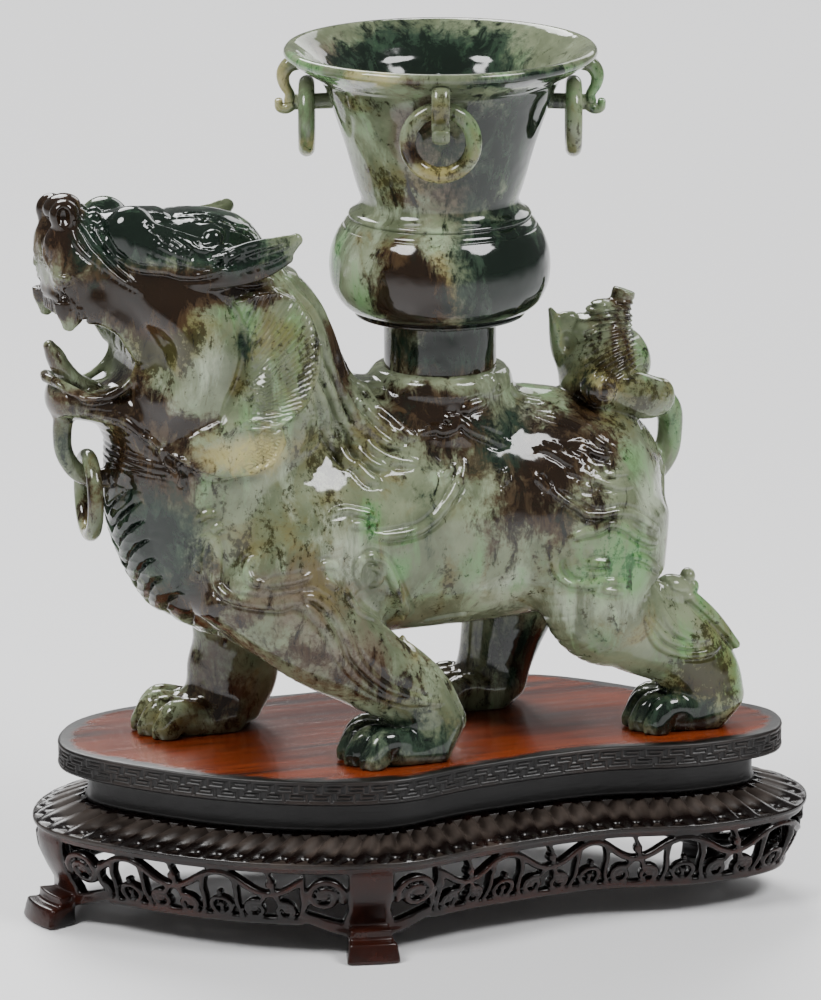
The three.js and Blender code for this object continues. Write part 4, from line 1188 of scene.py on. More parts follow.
def base_material():
    """Near black hardwood: red-brown where hands have worn the high places, dusty in the hollows."""
    p = Paint("base_stain")
    where = p.places()
    smudge = p.noise(where, 22, 5, 0.6)
    grain = p.noise(p.places(stretch=(0.12, 1, 1)), 3, 5, 0.6)
    worn = (p.mask("worn") * 0.9 + (smudge - 0.5) * 0.8).between(0.35, 1.0)
    dust = (p.mask("dust") + (smudge - 0.5) * 0.6).between(0.3, 1.0)
    colour = p.mix(worn * 0.8, srgb("0d0706"), srgb("3a160b"))
    colour = p.mix(grain.between(0.6, 0.9) * 0.5, colour, srgb("0a0504"))
    colour = p.mix(dust * 0.75, colour, srgb("4a4039"))
    return p.finish(Base_Color=colour, Roughness=dust * 0.35 + 0.2 + grain * 0.08, IOR=1.45,
                    Normal=p.bump(grain, 0.1, 0.5))


def blob_masks(points, blobs):
    """Each tint's mask on some points: the sum of its blobs, strength times exp(-q^2), where q is the
    distance from the blob's centre in radii. The sum is kept from -1 to 1.6."""
    masks = {tint: np.zeros(len(points)) for tint in JADE_TINTS}
    for tint, centre, radii, strength in blobs:
        masks[tint] += strength * np.exp(-(((points - centre) / radii)**2).sum(1))
    return {tint: values.clip(-1, 1.6) for tint, values in masks.items()}


# The lion's tints, each a list of blobs (x, y, z, half length, half height, strength), placed one by one.
# All reach equally far through the stone
BLOB_WIDTH = 30
# Besides the stone's colours, some dark, brown and olive blobs are painted shade: along the crease behind the
# cheek, under the ear, and in the groove between the cheek and the ruff's lower lobe.
LION_TINTS = {
    "dark": [
        (-85, -6, 228, 25, 10, 1.2), (-102, -16, 232, 10, 8, 1.2), (-79, -22, 226, 15, 5, 1),
        (-63, -28, 221, 13, 5, 0.6), (-113, -14, 221, 9, 8, 0.45), (-120, -4, 159, 6, 10, 0.6),
        (-19, -26, 162, 11, 10, 0.25), (-95, -14, 131, 15, 18, 1.3), (-17, -30, 76, 13, 10, 0.4),
        (-29, -34, 63, 20, 8, 0.95), (-3, -22, 59, 10, 8, 0.7), (-10, -32, 134, 3, 16, 0.7),
        (16, -30, 150, 10, 11, 0.5), (19, 0, 159, 10, 7, 0.9), (38, -30, 132, 7, 10, 0.45),
        (80, -28, 61, 15, 8, 1), (67, -30, 63, 9, 7, 0.7), (37, 20, 75, 20, 16, 0.9),
        # The blobs at (-70, -32, 194) and (-68, -31, 203) are painted shade along the crease behind the
        # cheek.
        (45, 22, 70, 10, 8, 0.6), (48, -8, 172, 5, 5, 0.6), (-70, -32, 194, 3, 5, 0.7),
        (-68, -31, 203, 3, 5, 0.6),
    ],
    "green": [
        (-62, 10, 229, 7, 4, 0.7), (-73, -28, 202, 7, 10, 0.6), (-57, -32, 198, 13, 16, 0.45),
        (-72, -32, 171, 13, 7, 0.4), (-52, -32, 176, 5, 13, 0.5), (-78, -30, 146, 12, 16, 0.35),
        (-29, -34, 136, 5, 10, 0.9), (-6, -32, 120, 10, 16, 0.35), (-18, -32, 122, 4, 8, 1),
        (7, -32, 116, 7, 13, 0.5), (58, -26, 145, 10, 7, 0.6), (36, 0, 166, 12, 7, 0.5),
        (35, -30, 116, 13, 13, 0.35), (47, -32, 116, 15, 14, 0.45), (56, -32, 116, 8, 12, 0.8),
        (45, -30, 89, 10, 7, 0.5), (76, -30, 86, 15, 11, 0.6), (92, -24, 76, 9, 11, 0.8),
        (83, -27, 101, 5, 7, 0.9), (73, 0, 174, 5, 9, 0.8), (44, 0, 180, 4, 8, 0.7),
        (80, 0, 157, 8, 7, 0.6), (84, 0, 144, 5, 11, 0.55),
    ],
    "brown": [
        (-120, -4, 235, 12, 10, 1.4), (-114, -14, 224, 13, 11, 0.9), (-120, -12, 208, 13, 8, 0.7),
        # The blobs at (-68, -30, 218) and (-83, -26, 212) are a painted shadow band under the ear.
        (-97, -22, 211, 13, 9, 0.9), (-100, -20, 205, 11, 8, 1), (-68, -30, 218, 17, 4, 1.1),
        # The blobs at (-89, -24, 171) and (-83, -30, 170) are painted shade in the groove between the cheek
        # and the ruff's lower lobe.
        (-83, -26, 212, 20, 5, 1), (-89, -24, 171, 12, 5, 0.35), (-101, -24, 179, 8, 6, 0.45),
        (-111, -14, 175, 15, 6, 0.6), (-125, -4, 188, 5, 8, 0.8), (-83, -30, 170, 11, 3, 0.4),
        (-64, -32, 208, 13, 5, 0.6), (-33, -10, 191, 5, 16, 0.9), (-34, -22, 180, 6, 15, 0.5),
        (-98, -12, 154, 17, 21, 1.3), (-87, -18, 115, 12, 13, 1.1), (-68, -30, 106, 17, 10, 0.5),
        (-27, -30, 85, 20, 12, 0.75), (-53, -32, 96, 20, 7, 0.45), (-66, 22, 79, 10, 12, 0.8),
        (-63, 22, 64, 13, 8, 0.8), (22, -30, 134, 15, 17, 1.05), (36, -26, 151, 17, 11, 1),
        (-1, -18, 160, 17, 12, 0.85), (-5, -10, 167, 17, 8, 0.9), (45, -30, 137, 8, 7, 0.35),
        (52, -24, 151, 9, 4, 0.4), (41, 0, 159, 13, 4, 0.55), (71, -10, 147, 7, 6, 0.5),
        (47, -32, 129, 12, 6, 0.5), (84, -26, 68, 13, 7, 0.5), (27, 22, 67, 17, 7, 0.9),
        (66, 0, 191, 5, 5, 0.55), (60, -4, 181, 9, 10, 0.7), (51, -14, 164, 5, 5, 0.8),
        (-122, -8, 207, 10, 4, 0.7), (-126, -3, 166, 5, 13, 0.8),
    ],
    "mauve": [
        (-122, -6, 227, 7, 8, 0.8), (-93, -24, 183, 11, 10, 0.55), (-38, -28, 161, 11, 13, 0.5),
        (-86, -24, 153, 10, 14, 0.8), (-58, -34, 116, 23, 13, 0.9), (-40, -32, 95, 20, 12, 0.9),
        (-36, -32, 71, 13, 7, 0.4), (-58, 20, 69, 13, 8, 0.5), (-6, -32, 127, 7, 13, 0.4),
        (20, 22, 71, 10, 5, 0.6), (-127, -3, 216, 5, 10, 0.7), (-119, -8, 177, 10, 3, 0.7),
    ],
    "pale": [
        (-81, -26, 192, 7, 11, 0.7), (-95, -24, 176, 10, 8, 0.4), (-53, -34, 144, 15, 14, 0.35),
        (-39, -34, 129, 9, 12, 0.7), (14, -30, 108, 12, 10, 0.8), (46, 0, 163, 10, 3, 0.4),
        (28, -6, 159, 7, 5, 1.2), (65, -26, 132, 9, 13, 0.8), (53, -34, 102, 15, 13, 0.5),
        (33, -34, 101, 9, 12, 0.5),
    ],
    "olive": [
        (-92, -26, 195, 9, 13, 0.5), (-87, -26, 202, 13, 10, 0.6), (-98, -24, 197, 7, 10, 0.55),
        (-98, -24, 188, 8, 8, 0.6), (-105, -14, 166, 13, 5, 0.8), (-49, -32, 183, 7, 16, 0.7),
        (-60, -32, 198, 12, 13, 0.5), (-80, -32, 164, 10, 7, 0.4), (-24, -26, 159, 10, 10, 0.6),
        (-104, -10, 159, 7, 8, 0.6), (-79, -28, 148, 13, 8, 0.4), (-72, -32, 131, 20, 12, 0.62),
        (-46, -32, 158, 13, 10, 0.5), (-43, -34, 137, 13, 13, 0.35), (-43, -32, 153, 10, 10, 0.5),
        (-43, -34, 112, 10, 10, 0.5), (-18, -28, 101, 6, 20, 0.45), (-19, -30, 79, 17, 10, 0.55),
        (-80, 24, 64, 13, 8, 0.7), (-3, -30, 112, 3, 10, 0.9), (-1, -32, 139, 8, 11, 0.35),
        (56, -10, 155, 11, 6, 0.8), (29, -30, 122, 8, 16, 0.6), (47, -34, 100, 17, 10, 0.3),
        (83, -28, 72, 13, 8, 0.75), (92, -24, 61, 8, 8, 0.7), (81, -26, 78, 11, 13, 0.9),
        (89, -26, 90, 8, 8, 0.5), (57, -6, 174, 11, 7, 0.7), (60, -6, 177, 13, 14, 0.45),
        # The blob at (-73, -31, 181) is painted shade along the crease behind the cheek.
        (72, -6, 163, 11, 7, 0.7), (-73, -31, 181, 3, 5, 0.9),
    ],
    "cream": [
        (-69, -32, 160, 17, 7, 1.1), (-15, -26, 94, 3, 20, 0.5), (20, -16, 153, 10, 7, 0.5),
        (46, 0, 183, 3, 7, 0.5), (52, -14, 167, 7, 7, 0.9),
    ],
}


def grid_faces(rows, columns, first_pole=False, last_pole=False):
    """Faces of a closed surface whose rows are rings of `columns` points, outward for rings that run
    anticlockwise with rows going up. Poles are single points added after the rings."""
    r, c = np.meshgrid(np.arange(rows - 1), np.arange(columns), indexing="ij")
    a = (r * columns + c).ravel()
    b = (r * columns + (c + 1) % columns).ravel()
    quads = np.stack([a, b, b + columns, a + columns], 1)
    triangles = [quads[:, [0, 1, 2]], quads[:, [0, 2, 3]]]
    ring = np.arange(columns)
    pole = rows * columns
    if first_pole:
        triangles.append(np.stack([(ring + 1) % columns, ring, np.full(columns, pole)], 1))
        pole += 1
    if last_pole:
        last = (rows - 1) * columns
        triangles.append(np.stack([last + ring, last + (ring + 1) % columns, np.full(columns, pole)], 1))
    return np.vstack(triangles)


def joined(parts):
    """Several meshes as one: their vertices in a row and their triangles renumbered."""
    start = np.cumsum([0] + [len(v) for v, _ in parts[:-1]])
    return np.vstack([v for v, _ in parts]), np.vstack([f + n for (_, f), n in zip(parts, start)])


def swept(path, half_width, half_depth, across, sides=20, square=2.6):
    """A closed rod along a path with a rounded-square section, |a|^n + |b|^n = 1 with n = square. Its
    width lies along `across` and its depth square to it, and its ends are drawn in to a dome."""
    path = np.asarray(path, float)
    ahead = unit(np.gradient(path, axis=0))
    across = np.broadcast_to(np.asarray(across, float), path.shape)
    side = unit(across - ahead * (across * ahead).sum(1, keepdims=True))
    depth = np.cross(ahead, side)
    angle = np.arange(sides) * 2 * np.pi / sides
    a = np.sign(np.cos(angle)) * np.abs(np.cos(angle))**(2 / square)
    b = np.sign(np.sin(angle)) * np.abs(np.sin(angle))**(2 / square)
    width = np.broadcast_to(half_width, len(path))[:, None, None]
    thick = np.broadcast_to(half_depth, len(path))[:, None, None]
    rings = path[:, None] + side[:, None] * a[:, None] * width + depth[:, None] * b[:, None] * thick
    ends = []
    for k, way in ((0, -1), (-1, 1)):
        for inset, out in ((0.85, 0.3), (0.5, 0.5)):
            rise = ahead[k] * way * out * min(width[k].item(), thick[k].item())
            ends.append(path[k] + (rings[k] - path[k]) * inset + rise)
    rings = np.concatenate([[ends[1], ends[0]], rings, [ends[2], ends[3]]])
    poles = np.array([rings[0].mean(0), rings[-1].mean(0)])
    points = np.vstack([rings.reshape(-1, 3), poles])
    return points, grid_faces(len(rings), sides, True, True)


def around_vase(points, angle):
    """Points given as (out from the axis, sideways, z), turned to an angle in degrees round the
    vase's axis, 0 being +X."""
    a = math.radians(angle)
    points = np.asarray(points, float)
    x = points[:, 0] * math.cos(a) - points[:, 1] * math.sin(a)
    y = points[:, 0] * math.sin(a) + points[:, 1] * math.cos(a)
    return np.stack([x + VASE_AXIS[0], y + VASE_AXIS[1], points[:, 2]], 1)


def vase_profile():
    """The vase's wall as (radius, z), from the stem's foot up the outside, over the rim and down the
    inside to the floor."""
    stem = [(0.5, 168.3), (16, 168.3), (17.2, 168.9), (17.7, 170), (17.7, 176), (17.7, 184), (17.7, 189.4),
            (18, 190.6)]
    foot = [(19.2, 191.4), (23, 191.5), (26, 191.7), (26.8, 192.2), (26.8, 192.9), (26.3, 193.2),
            (27.2, 193.5)]
    bulb = [(28.6, 194.2), (30.6, 195.8), (32.4, 198.2), (34.1, 202), (34.7, 206), (34.7, 209.4),
            (34.2, 213), (33.2, 216), (32, 218.4), (30.9, 220)]
    shoulder = [(30.4, 220.3), (30.3, 220.7), (30.1, 221.3), (28.9, 222.5), (28.2, 223), (28.6, 223.3),
                (28.8, 223.9), (28.3, 224.6), (27, 225.3), (25.7, 226.5), (24.9, 227.8)]
    neck = [(24.7, 229), (26.1, 233), (27.9, 239), (30, 246), (32.2, 253), (34.1, 259), (35.9, 263.4),
            (37.4, 266.6)]
    rim = [(38.4, 267.6), (41, 269.2), (44.2, 271.2), (47, 273), (48.6, 274.2), (49, 275.2), (48.8, 276.2),
           (48, 277), (46.6, 277), (45.2, 276.2)]
    inside = [(42, 273.4), (38.6, 270.4), (35.4, 266.4), (32.6, 260), (29.2, 249.6), (25.2, 237.4),
              (21.4, 228.4), (21.2, 226), (23.6, 222), (27.4, 218.2), (29.6, 213), (30, 208), (29, 203),
              (25.6, 199), (18, 196.8), (0.5, 196.5)]
    return np.vstack([stem, foot, spline(bulb, 4), shoulder, neck, rim, inside])


def make_vase(material):
    """The vase: its profile turned round the axis, with a dish 12 mm wide, 25 mm high and 1.5 mm deep
    in the neck behind each ring, and four strap handles, each with the bar that its ring hangs on.
    It is out of round by up to 0.2 mm, as a hand-ground vase is."""
    columns = VASE_COLUMNS
    corners = vase_profile()
    profile = np.vstack([np.linspace(a, b, max(2, int(np.linalg.norm(b - a) / 1.1)), endpoint=False)
                         for a, b in zip(corners[:-1], corners[1:])])
    angle = np.arange(columns) * 2 * np.pi / columns
    radius = np.repeat(profile[:, :1], columns, 1)
    height = np.repeat(profile[:, 1:], columns, 1)
    outer = (np.arange(len(profile)) < profile[:, 1].argmax())[:, None]
    for turn in HANDLES.values():
        sideways = (np.mod(angle - math.radians(turn) + np.pi, 2 * np.pi) - np.pi)[None] * radius
        q = (sideways / 6.2)**2 + ((height - 248) / 12.5)**2
        radius = radius - outer * 1.5 * np.maximum(1 - q, 0)**1.3
    radius = radius + 0.12 * np.sin(2 * angle + 0.6) + 0.08 * np.sin(5 * angle + height / 17)
    points = np.stack([radius * np.cos(angle), radius * np.sin(angle), height], 2).reshape(-1, 3)
    points = np.vstack([points, [(0, 0, profile[0, 1]), (0, 0, profile[-1, 1])]]) + VASE_AXIS * (1, 1, 0)
    parts = [(points, grid_faces(len(profile), columns, True, True))]
    strap = spline([(44, 0, 272.2), (47.2, 0, 270.8), (48.9, 0, 268), (48.5, 0, 264.8), (47, 0, 262),
                    (46.8, 0, 259.6)], 8)
    knob = spline([(46, 0, 258.6), (48, 0, 257.2), (50, 0, 257.6), (50.4, 0, 259.6)], 6)
    bar = np.linspace((31.5, 0, BAR_Z), (47.4, 0, BAR_Z - 0.6), 12)
    for turn in HANDLES.values():
        across = around_vase([(0, 1, 0)], turn)[0] - around_vase([(0, 0, 0)], turn)[0]
        waist = np.interp(np.linspace(0, 1, len(strap)), [0, 0.35, 0.75, 1], [2.6, 2.3, 1.5, 1.9])
        parts.append(swept(around_vase(strap, turn), 2.9, waist, across))
        parts.append(swept(around_vase(knob, turn), 2.8, np.linspace(1.9, 1.3, len(knob)), across))
        parts.append(swept(around_vase(bar, turn), 2.3, 2.5, across, square=2.3))
    vertices, faces = joined(parts)
    masks = blob_masks(vertices - VASE_AXIS * (1, 1, 0), VASE_TINTS)
    return make_piece("vase_body", vertices, faces, material, ["vase"], masks=masks)


def torus(radius, thick, rows=96, sides=28):
    """A ring round X: a round section of radius `thick` carried round a circle."""
    i, j = np.meshgrid(np.arange(rows), np.arange(sides), indexing="ij")
    u, v = i * 2 * np.pi / rows, j * 2 * np.pi / sides
    out = radius + thick * np.cos(v)
    points = np.stack([thick * np.sin(v), out * np.cos(u), out * np.sin(u)], 2).reshape(-1, 3)
    up, over = (i + 1) % rows, (j + 1) % sides
    a, b, c, d = i * sides + j, up * sides + j, up * sides + over, i * sides + over
    quads = np.stack([a.ravel(), b.ravel(), c.ravel(), d.ravel()], 1)
    return points, np.vstack([quads[:, [0, 1, 2]], quads[:, [0, 2, 3]]])


def make_rings(material):
    """The four loose rings on the vase's handles, each in its handle's plane of turning, and the ring
    in the loop under the lion's chin, which hangs across the lion."""
    points, faces = torus(RING_RADIUS, RING_THICK)
    for side, turn in HANDLES.items():
        place = around_vase(points + (RING_AT, 0, RING_CENTRE_Z), turn)
        masks = blob_masks(points, RING_TINTS[side])
        make_piece("ring_" + side, place, faces, material, ["vase_ring_" + side], masks=masks)
    low, high = (np.array(v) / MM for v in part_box("chin_ring"))
    points, faces = torus((high[2] - low[2]) / 2 - 2.6, CHIN_RING_THICK)
    place = points @ turned(0, 0, CHIN_RING_TURN).T + (low + high) / 2
    masks = blob_masks(points, RING_TINTS["chin"])
    make_piece("ring_chin", place, faces, material, ["chin_ring"], masks=masks)


OUTLINE = [(-114, 16), (-92, -18), (-60, -43), (-28, -53), (5, -46), (45, -42.5), (78, -48), (106, -41),
           (113, -20), (90, 10), (56, 45), (20, 50), (-30, 50), (-80, 54), (-104, 42)]
FEET = [(-113, 15), (-36, -52), (97, 2), (-20, 50)]


def stand_outline(count):
    """The stand's outline as `count` evenly spaced points, with its outward normals and its length: a
    closed centripetal Catmull-Rom curve, whose spans are timed by the square root of their chords."""
    p = np.array(OUTLINE, float)
    before, after, last = np.roll(p, 1, 0), np.roll(p, -1, 0), np.roll(p, -2, 0)
    chords = ((before, p), (p, after), (after, last))
    d0, d1, d2 = (np.sqrt(np.linalg.norm(b - a, axis=1))[:, None] for a, b in chords)
    out = ((p - before) / d0 - (after - before) / (d0 + d1) + (after - p) / d1) * d1
    into = ((after - p) / d1 - (last - p) / (d1 + d2) + (last - after) / d2) * d1
    t = np.linspace(0, 1, 200, endpoint=False)[None, :, None]
    p, after, out, into = (v[:, None] for v in (p, after, out, into))
    curve = (p * (2 * t**3 - 3 * t**2 + 1) + out * (t**3 - 2 * t**2 + t) + after * (3 * t**2 - 2 * t**3)
             + into * (t**3 - t**2)).reshape(-1, 2)
    loop = np.vstack([curve, curve[:1]])
    run = np.concatenate([[0], np.cumsum(np.linalg.norm(np.diff(loop, axis=0), axis=1))])
    even = np.arange(count) * run[-1] / count
    points = np.stack([np.interp(even, run, loop[:, i]) for i in (0, 1)], 1)
    along = unit(np.roll(points, -1, 0) - np.roll(points, 1, 0))
    return points + STAND_AT, np.stack([along[:, 1], -along[:, 0]], 1), run[-1]


def wrapped(s, out, z, outline):
    """Places at a run s round the outline, a distance out from it and a height, all in millimetres."""
    points, normals, length = outline
    share = np.mod(s / length, 1) * len(points)
    first = share.astype(int) % len(points)
    rest = (share - np.floor(share))[..., None]
    after = (first + 1) % len(points)
    place = points[first] * (1 - rest) + points[after] * rest
    place = place + unit(normals[first] * (1 - rest) + normals[after] * rest) * out[..., None]
    return np.concatenate([place, z[..., None]], -1)


def off_outline(points, outline):
    """How far each point is out from the outline, seen from above."""
    places, normals, _ = outline

    def out(flat):
        nearest = ((places**2).sum(1) - 2 * flat @ places.T).argmin(1)
        return ((flat - places[nearest]) * normals[nearest]).sum(1)

    return in_chunks(out, points[:, :2])


FRET_PATH = [(-3.4, -1.2), (3.0, -1.2), (3.0, 1.1), (-2.2, 1.1), (-2.2, -0.1), (1.4, -0.1)]


def square_strokes(x, y, path, width):
    """1 on a stroke along a path of upright and level lines and 0 off it, with a soft edge."""
    value = np.zeros(np.shape(x))
    for (ax, ay), (bx, by) in zip(path[:-1], path[1:]):
        across = np.maximum(np.maximum(min(ax, bx) - x, x - max(ax, bx)), 0)
        up = np.maximum(np.maximum(min(ay, by) - y, y - max(ay, by)), 0)
        value = np.maximum(value, ((width - np.maximum(across, up)) / (0.35 * width) + 0.5).clip(0, 1))
    return value


def make_board(material):
    """The stand's upper board: a plain waist, and a thick edge with two rows of key fret whose ground
    is cut 0.5 mm deep. The near black stain covers all but the top, and its edge is soft."""
    columns = BOARD_COLUMNS
    outline = stand_outline(OUTLINE_STEPS)
    length = outline[2]
    waist = [(-8.5, 37.3), (-9.1, 38.5), (-9.5, 41), (-9.5, 46), (-9.4, 47.3), (-8.6, 47.9), (-5, 48),
             (-0.8, 48), (-0.2, 48.3), (0, 48.8), (0, 49)]
    band = [(-0.15, z) for z in np.arange(49.1, 55.01, 0.23)]
    brink = [(0, 55.1), (-0.1, 55.5), (-0.5, 55.9), (-1.1, BOARD_TOP), (-6, BOARD_TOP)]
    levels = np.array(waist + band + brink)
    s = np.arange(columns) * length / columns
    run, z = np.meshgrid(s, levels[:, 1])
    out = np.repeat(levels[:, :1], columns, 1)
    count = round(length / FRET_PITCH)
    pitch = length / count
    for row, flip in ((0, 1), (1, -1)):
        x = np.mod(run + row * pitch / 2, pitch) - pitch / 2
        y = z - (FRET_LOW + FRET_ROW * (row + 0.5))
        inside = (np.abs(y) < FRET_ROW / 2) & (np.abs(out + 0.15) < 0.01)
        out = out - np.where(inside, 0.5 * (1 - square_strokes(x * flip, y * flip, FRET_PATH, 0.33)), 0)
    rings = wrapped(run, out, z, outline)
    middle = rings[0, :, :2].mean(0)
    low = [shrunk(rings[0], middle, share) for share in (0.3, 0.7)]
    high = [shrunk(rings[-1], middle, share) for share in (0.85, 0.6, 0.3)]
    rings = np.concatenate([np.array(low), rings, np.array(high)])
    poles = [(*middle, levels[0, 1]), (*middle, levels[-1, 1])]
    vertices = np.vstack([rings.reshape(-1, 3), poles])
    faces = grid_faces(len(rings), columns, True, True)
    stain = np.concatenate([np.ones(len(levels)), [0.8, 0.3, 0.12, 0, 0]])
    worn = np.concatenate([np.zeros((2, columns)), (out > -0.3) & (z > 48.5), np.zeros((3, columns))])
    masks = {"stain": np.append(np.repeat(stain, columns), [1, 0]), "worn": np.append(worn.ravel(), [0, 0])}
    return make_piece("board", vertices, faces, material, ["stand_top"], masks=masks)


def shrunk(ring, middle, share):
    """A ring drawn in towards a point in its plane."""
    return np.column_stack([middle + (ring[:, :2] - middle) * share, ring[:, 2]])


def foot_places(outline):
    """Where along the outline each foot stands."""
    points, _, length = outline
    return [np.linalg.norm(points - STAND_AT - foot, axis=1).argmin() * length / len(points) for foot in FEET]


def flat_strokes(x, z, strokes):
    """Distance in the plane to the nearest of some strokes, each a path and a half width."""
    place = np.stack([x, z, np.zeros(len(x))], 1)
    nearest = np.full(len(x), FAR)
    for path, width in strokes:
        line = spline(path, 4)
        line = np.column_stack([line, np.zeros(len(line))])
        at, _ = beside(place, line)
        nearest = np.minimum(nearest, np.linalg.norm(place - at[:, :3], axis=1) - width)
    return nearest


def spiral(x, z, radius, start, turns, grow=-0.62):
    """Points of a spiral round (x, z) that starts at a radius and an angle in degrees and closes in."""
    t = np.linspace(0, 1, int(10 * abs(turns)) + 2)
    angle = math.radians(start) + 2 * math.pi * turns * t
    reach = radius * (1 + grow * t)
    return np.stack([x + reach * np.cos(angle), z + reach * np.sin(angle)], 1)


def foot_distance(s, place, length):
    """How far along the outline each run is from a foot."""
    return np.mod(s - place + length / 2, length) - length / 2


def apron_openwork(s, z, length, feet):
    """Distance in the plane of the apron to its solid parts: a wavy vine under the upper rail, with a
    ball in each dip and scrolls below, a lower rail, and at each foot a plain panel between two
    larger scrolls, with a bracket that comes down to the foot."""
    pitch = length / VINE_LOOPS
    x = np.mod(s, pitch) - pitch / 2
    half = pitch / 2
    wave = np.linspace(-half - 3, half + 3, 27)
    vine = np.stack([wave, 23.9 - 3.4 * np.cos(wave * 2 * np.pi / pitch)], 1)
    strokes = [(vine, 1.2), ([(0.4, 20.6), (1.4, 22.4), (0.9, 25), (-0.6, 28.4)], 0.7),
               ([(0.6, 24), (0.6, 24.1)], 1.6)]
    for side in (-1, 1):
        strokes += [(spiral(side * half, 15.4, 4.7, 90, -1.5 * side, -0.66), 0.95),
                    ([(side * half, 15.4), (side * half, 15.5)], 1.2),
                    ([(side * (half - 4.6), 25.8), (side * (half - 5.4), 21.6), (side * (half - 5.2), 17),
                      (side * (half - 6.2), 12.5), (side * (half - 8), 10)], 0.9)]
    strokes += [(spiral(-4.6, 14.6, 3.5, 60, 1.35, -0.6), 0.9), ([(-4.8, 14.6), (-4.8, 14.7)], 1.0),
                (spiral(4.4, 14.4, 3.4, 120, -1.35, -0.6), 0.9), ([(4.6, 14.4), (4.6, 14.5)], 1.0),
                ([(-2.6, 17.8), (-0.6, 20.4), (1.4, 20.4), (3.2, 17.6)], 0.9)]
    solid = flat_strokes(x, z, strokes)
    solid = np.minimum(solid, np.abs(z - 10.8) - 1.5)
    u = np.abs(np.array([foot_distance(s, place, length) for place in feet])).min(0)
    near = u < FOOT_REACH + 3
    if near.any():
        across, up = u[near], z[near]
        scrolls = [(spiral(13.4, 20.4, 5.8, 200, -1.6, -0.72), 1.2), ([(13.2, 20.4), (13.2, 20.5)], 1.5),
                   ([(20.4, 28), (20.2, 23), (19.2, 18), (20.6, 14), (21, 11)], 1.1)]
        low = 5.2 + 5.6 * (across / 21).clip(0, 1)**1.6
        bracket = np.abs(up - low - 2.2) - 2.2
        panel = np.maximum(across - 6.6 - 0.35 * (15 - up).clip(0, 8), low - up)
        local = np.minimum(np.minimum(flat_strokes(across, up, scrolls), panel), bracket)
        share = ((FOOT_REACH - across) / 2).clip(0, 1)
        solid[near] = local * share + solid[near] * (1 - share)
    return np.minimum(solid, np.abs(z - 29.6) - 1.7)


def base_field(outline):
    """The stand's base as a field in (run round the outline, height, distance out): petals that lean
    towards the corners, a ledge under them, the floor that they stand on, the apron's shell less its
    openings, and the feet. Across a petal its top falls by 2.9 |a|^2.4, where a is -1 to 1."""
    length = outline[2]
    feet = foot_places(outline)
    run_x = np.append(outline[0][:, 0], outline[0][0, 0])
    along_x = -np.append(outline[1][:, 1], outline[1][0, 1])
    runs = np.linspace(0, length, len(run_x))

    def read(p):
        s, z, out = p.T
        lean = np.interp(s, runs, (0.25 - run_x / 200) * along_x)
        phase = (s - lean * (8 - out)) / length * PETALS
        across = 2 * np.abs(phase - np.floor(phase) - 0.5)
        crest = 1 - across**2.4
        tip = out - 7.4 + 2.4 * across**2
        top = z - 37 + 0.3 * (out + 6.5) + 2.9 * (1 - crest) + 0.9 * ((out + 4) / 12).clip(0, 1)**4
        petals = np.maximum(np.maximum(top * 0.85, tip * 0.9), np.maximum(31 - z, -9.8 - out))
        ledge = -soft_min(-(np.abs(z - 30.9) - 0.9), -(out - 8.3), 0.8)
        ledge = np.maximum(ledge, -7 - out)
        floor = np.maximum(z - 34.2 + 0.12 * (out + 8), out - 4.5)
        floor = np.maximum(floor, np.maximum(30.5 - z, -8.5 - out))
        outer = np.interp(z, APRON_Z, APRON_OUT)
        shell = np.maximum(np.abs(out - outer + 2.3) * 0.94 - 2.3, np.maximum(z - 30.4, 4.5 - z))
        pierced = -soft_min(-shell, -apron_openwork(s, z, length, feet), 1.6)
        solid = np.minimum(np.minimum(petals, floor), np.minimum(soft_min(ledge, pierced, 0.6), FAR))
        for place in feet:
            u = foot_distance(s, place, length)
            if (np.abs(u) < 18).any():
                solid = soft_min(solid, foot(u, z, out), 0.8)
        return solid

    return read


def foot(u, z, out):
    """One foot: a block that flares out to the ground, and a thick neck that joins it to the apron."""
    low = ((7 - z) / 7).clip(0, 1.2)
    block = -soft_min(-(np.abs(u) - 6.5 - 0.7 * low), -(np.abs(out - 6.2 - 0.6 * low) - 4.6 - 0.9 * low), 1.0)
    block = -soft_min(-block, -(np.abs(z - 3.2) - 3.2), 0.8)
    neck = np.maximum(np.maximum(np.abs(u) - 6, np.abs(z - 7) - 2.6), np.abs(out - 4) - 3)
    return np.maximum(soft_min(block, neck, 1.0), -z)


